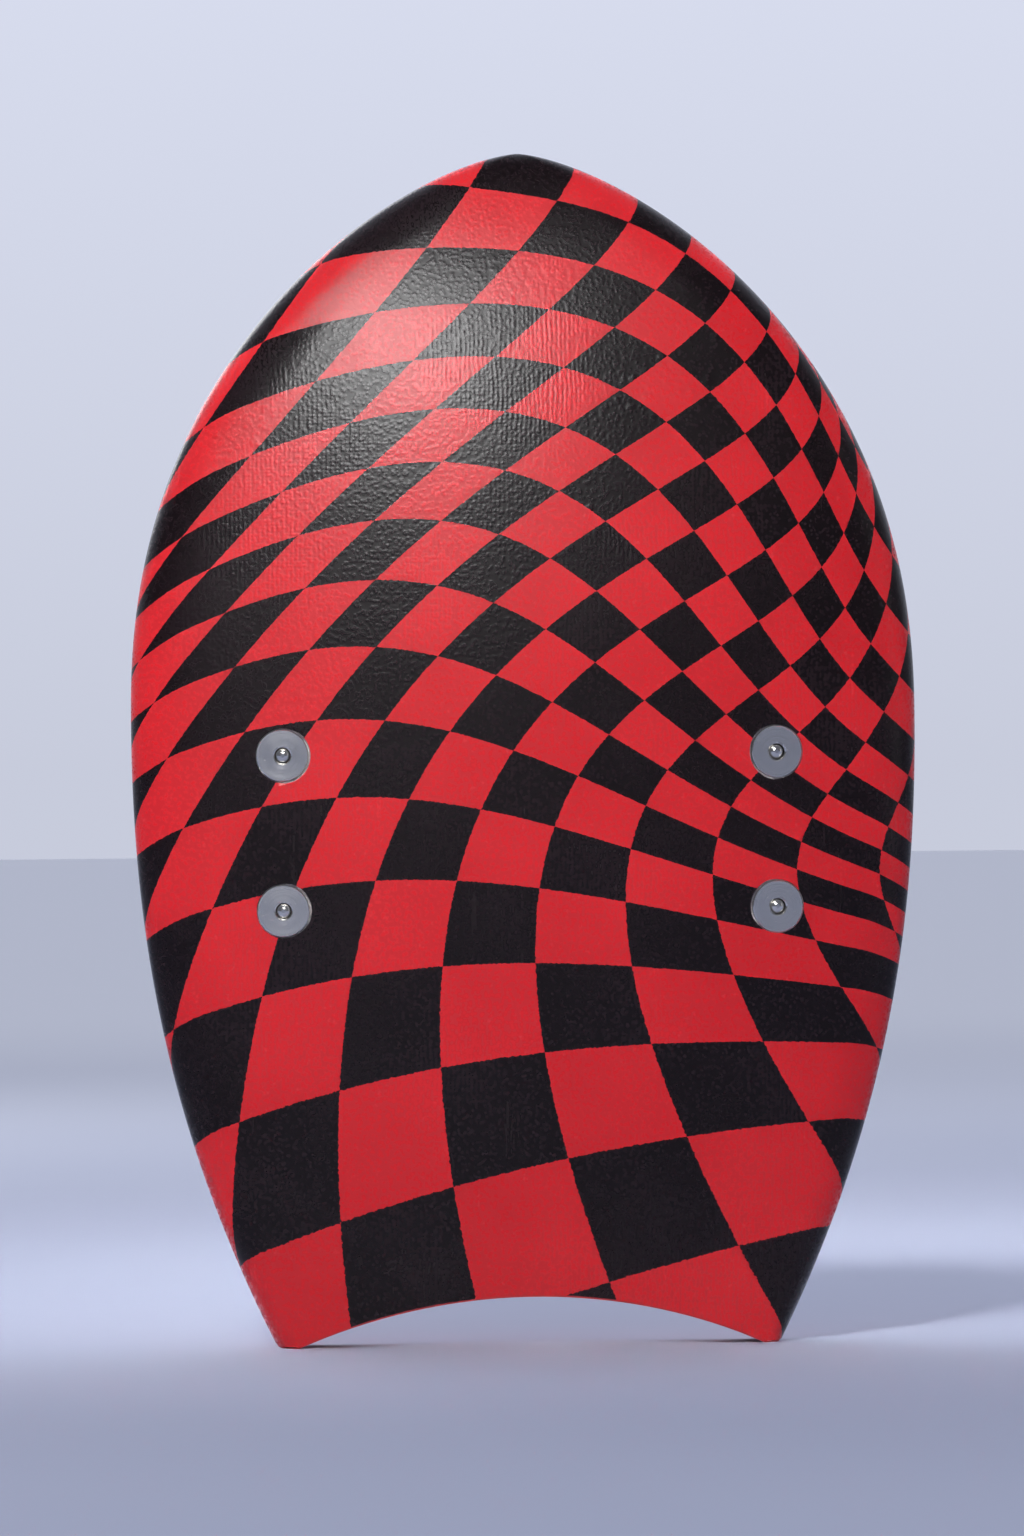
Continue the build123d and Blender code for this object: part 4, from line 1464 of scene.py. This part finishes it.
class MakeStrapPad(bpy.types.Operator):
    """Puffs up the soft pad under the strap between its bound edges and sewn channels"""

    bl_idname = "bodyboard.make_strap_pad"
    bl_label = "Strap pad"

    def execute(self, context):
        strap = context.scene.strap_sizes
        line = np.array(arch_line(strap.pad / 2, -87, 87, 2 * mm))
        run = run_along(line)
        rows, columns = 84, 40
        even = np.linspace(0, run[-1], rows)
        smooth = np.stack([np.interp(even, run, line[:, k]) for k in (0, 1)], -1)
        tangent = np.gradient(smooth, axis=0)
        tangent /= np.linalg.norm(tangent, axis=1, keepdims=True)
        out = np.stack([-tangent[:, 1], tangent[:, 0]], -1)
        out *= np.sign(out[rows // 2, 1])
        side = np.linspace(-1, 1, columns)
        bound_edge, outer, flat_thickness = 0.4 * mm, 1.85 * mm, 2.9 * mm
        half = strap.pad_width / 2 - bound_edge
        face = smooth + out * outer
        points = np.array(
            [[tuple(strap_point(x, rise, share * half)) for share in side] for x, rise in face]
        )
        uv = np.stack(np.meshgrid(side * half, even), -1)
        bm = grid_sheet(points, uv)
        piece = new_piece("strap_pad_soft", bm)
        wall = piece.modifiers.new("wall", "SOLIDIFY")
        inner_faces_up = piece.data.polygons[len(piece.data.polygons) // 2].normal.y > 0
        wall.thickness, wall.offset = flat_thickness, -1 if inner_faces_up else 1
        settle_modifiers(piece)
        face_outwards(piece)
        self.puff(context, piece, points, rows, columns)
        piece.data.shade_smooth()
        smoothing = piece.modifiers.new("smoothing", "SUBSURF")
        smoothing.levels = smoothing.render_levels = 1
        settle_modifiers(piece)
        piece.data.shade_smooth()
        dress(piece, neoprene())
        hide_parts("strap_pad")
        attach(piece, "strap_under_half")
        return {"FINISHED"}

    def puff(self, context, piece, points, rows, columns):
        """Inflates the inner face, held along its edges, two channels and the outer face."""
        rest = np.array([v.co for v in piece.data.vertices], float)
        flat = points.reshape(-1, 3)
        held = []
        for index, place in enumerate(rest):
            nearest = int(((flat - place) ** 2).sum(-1).argmin())
            row, column = divmod(nearest, columns)
            on_outer = np.linalg.norm(flat[nearest] - place) < 0.5 * mm
            channel = min(abs(row - rows // 3), abs(row - 2 * rows // 3)) < 1
            edge = row < 2 or row > rows - 3 or column < 2 or column > columns - 3
            if on_outer or channel or edge:
                held.append(index)
        group = piece.vertex_groups.new(name="held")
        group.add(held, 1.0, "REPLACE")
        cloth = piece.modifiers.new("cloth", "CLOTH")
        cloth.settings.use_pressure = True
        cloth.settings.uniform_pressure_force = 5.0
        cloth.settings.effector_weights.gravity = 0
        cloth.settings.vertex_group_mass = "held"
        cloth.settings.tension_stiffness = 12
        cloth.settings.compression_stiffness = 6
        cloth.settings.bending_stiffness = 0.4
        for frame_number in range(1, 15):
            context.scene.frame_set(frame_number)
        settle_modifiers(piece)
        puffed = np.array([v.co for v in piece.data.vertices], float)
        moved = puffed - rest
        distance = np.linalg.norm(moved, axis=1, keepdims=True)
        # The pad lies between the webbing and the hand, so it can't swell further.
        cap = 1.0 * mm
        puffed = rest + moved * np.where(distance > cap, cap / np.maximum(distance, 1e-9), 1.0)
        piece.data.vertices.foreach_set("co", puffed.astype(np.float32).ravel())
        piece.data.update()
        context.scene.frame_set(1)


# ---- Studio -----------------------------------------------------------------------------


class MakeStudio(bpy.types.Operator):
    """Sets the camera, the soft lights and the plain floor"""

    bl_idname = "bodyboard.make_studio"
    bl_label = "Studio"

    def execute(self, context):
        scene, studio = context.scene, context.scene.studio
        scene.view_settings.view_transform = "Standard"
        turn = radians(studio.azimuth)
        back = Vector((-sin(turn), -cos(turn), 0))
        right = Vector((cos(turn), -sin(turn), 0))
        aim = right * studio.middle_x + Vector((0, 0, studio.middle_z))
        camera_data = bpy.data.cameras.new("camera")
        camera = bpy.data.objects.new("camera", camera_data)
        scene.collection.objects.link(camera)
        parts_high, sensor = 1536, 36
        camera_data.sensor_width = sensor
        camera_data.lens = sensor * studio.distance / (parts_high * studio.pixel)
        camera.location = aim + back * studio.distance
        rotation = (-back).to_track_quat("-Z", "Y").to_matrix()
        camera.matrix_world = (
            Matrix.Translation(camera.location)
            @ rotation.to_4x4()
            @ Matrix.Rotation(radians(-studio.roll), 4, "Z")
        )
        camera_data.clip_start, camera_data.clip_end = 0.05, 40
        scene.camera = camera

        key = self.light("key", (-0.65, -1.75, 1.45), (-0.065, 0, 0.3), 0.6, 0.6, studio.key_power)
        key.data.spread = radians(studio.key_spread)
        key.visible_glossy = False
        shine = self.light(
            "shine", (-0.14, -2.07, 1.05), (0, 0, 0.3), 0.5, 0.4, studio.shine_power
        )
        shine.visible_diffuse = False
        fill = self.light("left_fill", (-1.1, -1.6, 1.7), (0, 0, 0.2), 0.9, 0.9, studio.fill_power)
        fill.visible_glossy = False
        self.light("right_side", (2.2, -1.2, 0.6), (0, 0, 0.2), 0.6, 1.2, studio.side_power)
        self.light("deck_fill", (-1.0, 2.2, 1.3), (0, 0, 0.2), 1.4, 1.2, studio.deck_power)
        scene.world = self.surroundings(studio)

        bm = bmesh.new()
        bmesh.ops.create_grid(bm, x_segments=1, y_segments=1, size=20)
        floor = new_piece("floor", bm)
        finish = Finish("floor_paint", IOR=1.4)
        mottle = finish.noise(finish.place(), 3.0, 3.0, 0.5)
        shade = finish.mix(mottle * 0.2, tuple(studio.floor), (0.46, 0.5, 0.66))
        _, far, _ = finish.split(finish.place())
        shade = finish.mix(far.ramp(0.2, 5.0), shade, (0.92, 0.94, 1.0))
        dress(floor, finish.set(Base_Color=shade, Roughness=0.72 + mottle * 0.1))
        return {"FINISHED"}

    def surroundings(self, studio):
        """Plain pale surroundings, dimmer on the side that the bottom faces."""
        world = bpy.data.worlds.new("surroundings")
        world.use_nodes = True
        tree = world.node_tree
        where = tree.nodes.new("ShaderNodeTexCoord")
        parts = tree.nodes.new("ShaderNodeSeparateXYZ")
        strength = tree.nodes.new("ShaderNodeMapRange")
        strength.interpolation_type = "SMOOTHSTEP"
        strength.inputs["From Min"].default_value = -0.35
        strength.inputs["From Max"].default_value = 0.6
        strength.inputs["To Min"].default_value = studio.front_sky
        strength.inputs["To Max"].default_value = studio.sky
        background = tree.nodes["Background"]
        background.inputs["Color"].default_value = (*studio.backdrop, 1)
        haze = tree.nodes.new("ShaderNodeMapRange")
        haze.inputs["From Max"].default_value = 0.2
        haze.inputs["To Min"].default_value = 0.65
        total = tree.nodes.new("ShaderNodeMath")
        total.operation = "MULTIPLY"
        tree.links.new(where.outputs["Generated"], parts.inputs[0])
        tree.links.new(parts.outputs["Y"], strength.inputs["Value"])
        tree.links.new(parts.outputs["Z"], haze.inputs["Value"])
        tree.links.new(strength.outputs["Result"], total.inputs[0])
        tree.links.new(haze.outputs["Result"], total.inputs[1])
        tree.links.new(total.outputs[0], background.inputs["Strength"])
        return world

    def light(self, name, place, aim, wide, high, power):
        """A soft rectangular light, turned to its aim."""
        data = bpy.data.lights.new(name, "AREA")
        data.shape, data.size, data.size_y, data.energy = "RECTANGLE", wide, high, power
        lamp = bpy.data.objects.new(name, data)
        bpy.context.scene.collection.objects.link(lamp)
        lamp.location = place
        lamp.rotation_euler = (Vector(aim) - lamp.location).to_track_quat("-Z", "Y").to_euler()
        return lamp


# ---- Panel and registration -------------------------------------------------------------

makers = (
    MakeBottom,
    MakeDeck,
    DressBoard,
    DressFixings,
    MakePalmPad,
    MakeStrapUnder,
    MakeStrapOver,
    MakeFastening,
    MakeStrapPad,
    MakeStudio,
)
settings = {
    "board_shape": BoardShape,
    "fixing_sizes": FixingSizes,
    "strap_sizes": StrapSizes,
    "finishes": Finishes,
    "studio": Studio,
}


class BodyboardPanel(bpy.types.Panel):
    """Lists the makers and their sizes"""

    bl_idname = "VIEW3D_PT_bodyboard"
    bl_label = "Bodyboard"
    bl_space_type = "VIEW_3D"
    bl_region_type = "UI"
    bl_category = "Bodyboard"

    def draw(self, context):
        for maker in makers:
            self.layout.operator(maker.bl_idname)
        for name, group in settings.items():
            box = self.layout.box()
            for key in group.__annotations__:
                box.prop(getattr(context.scene, name), key)


def register():
    for group in settings.values():
        bpy.utils.register_class(group)
    for maker in makers:
        bpy.utils.register_class(maker)
    bpy.utils.register_class(BodyboardPanel)
    for name, group in settings.items():
        setattr(bpy.types.Scene, name, bpy.props.PointerProperty(type=group))


def unregister():
    for name in settings:
        delattr(bpy.types.Scene, name)
    bpy.utils.unregister_class(BodyboardPanel)
    for maker in makers:
        bpy.utils.unregister_class(maker)
    for group in settings.values():
        bpy.utils.unregister_class(group)


def main():
    """Builds everything in order."""
    register()
    for maker in makers:
        group, name = maker.bl_idname.split(".")
        getattr(getattr(bpy.ops, group), name)()


if __name__ == "__main__":
    main()
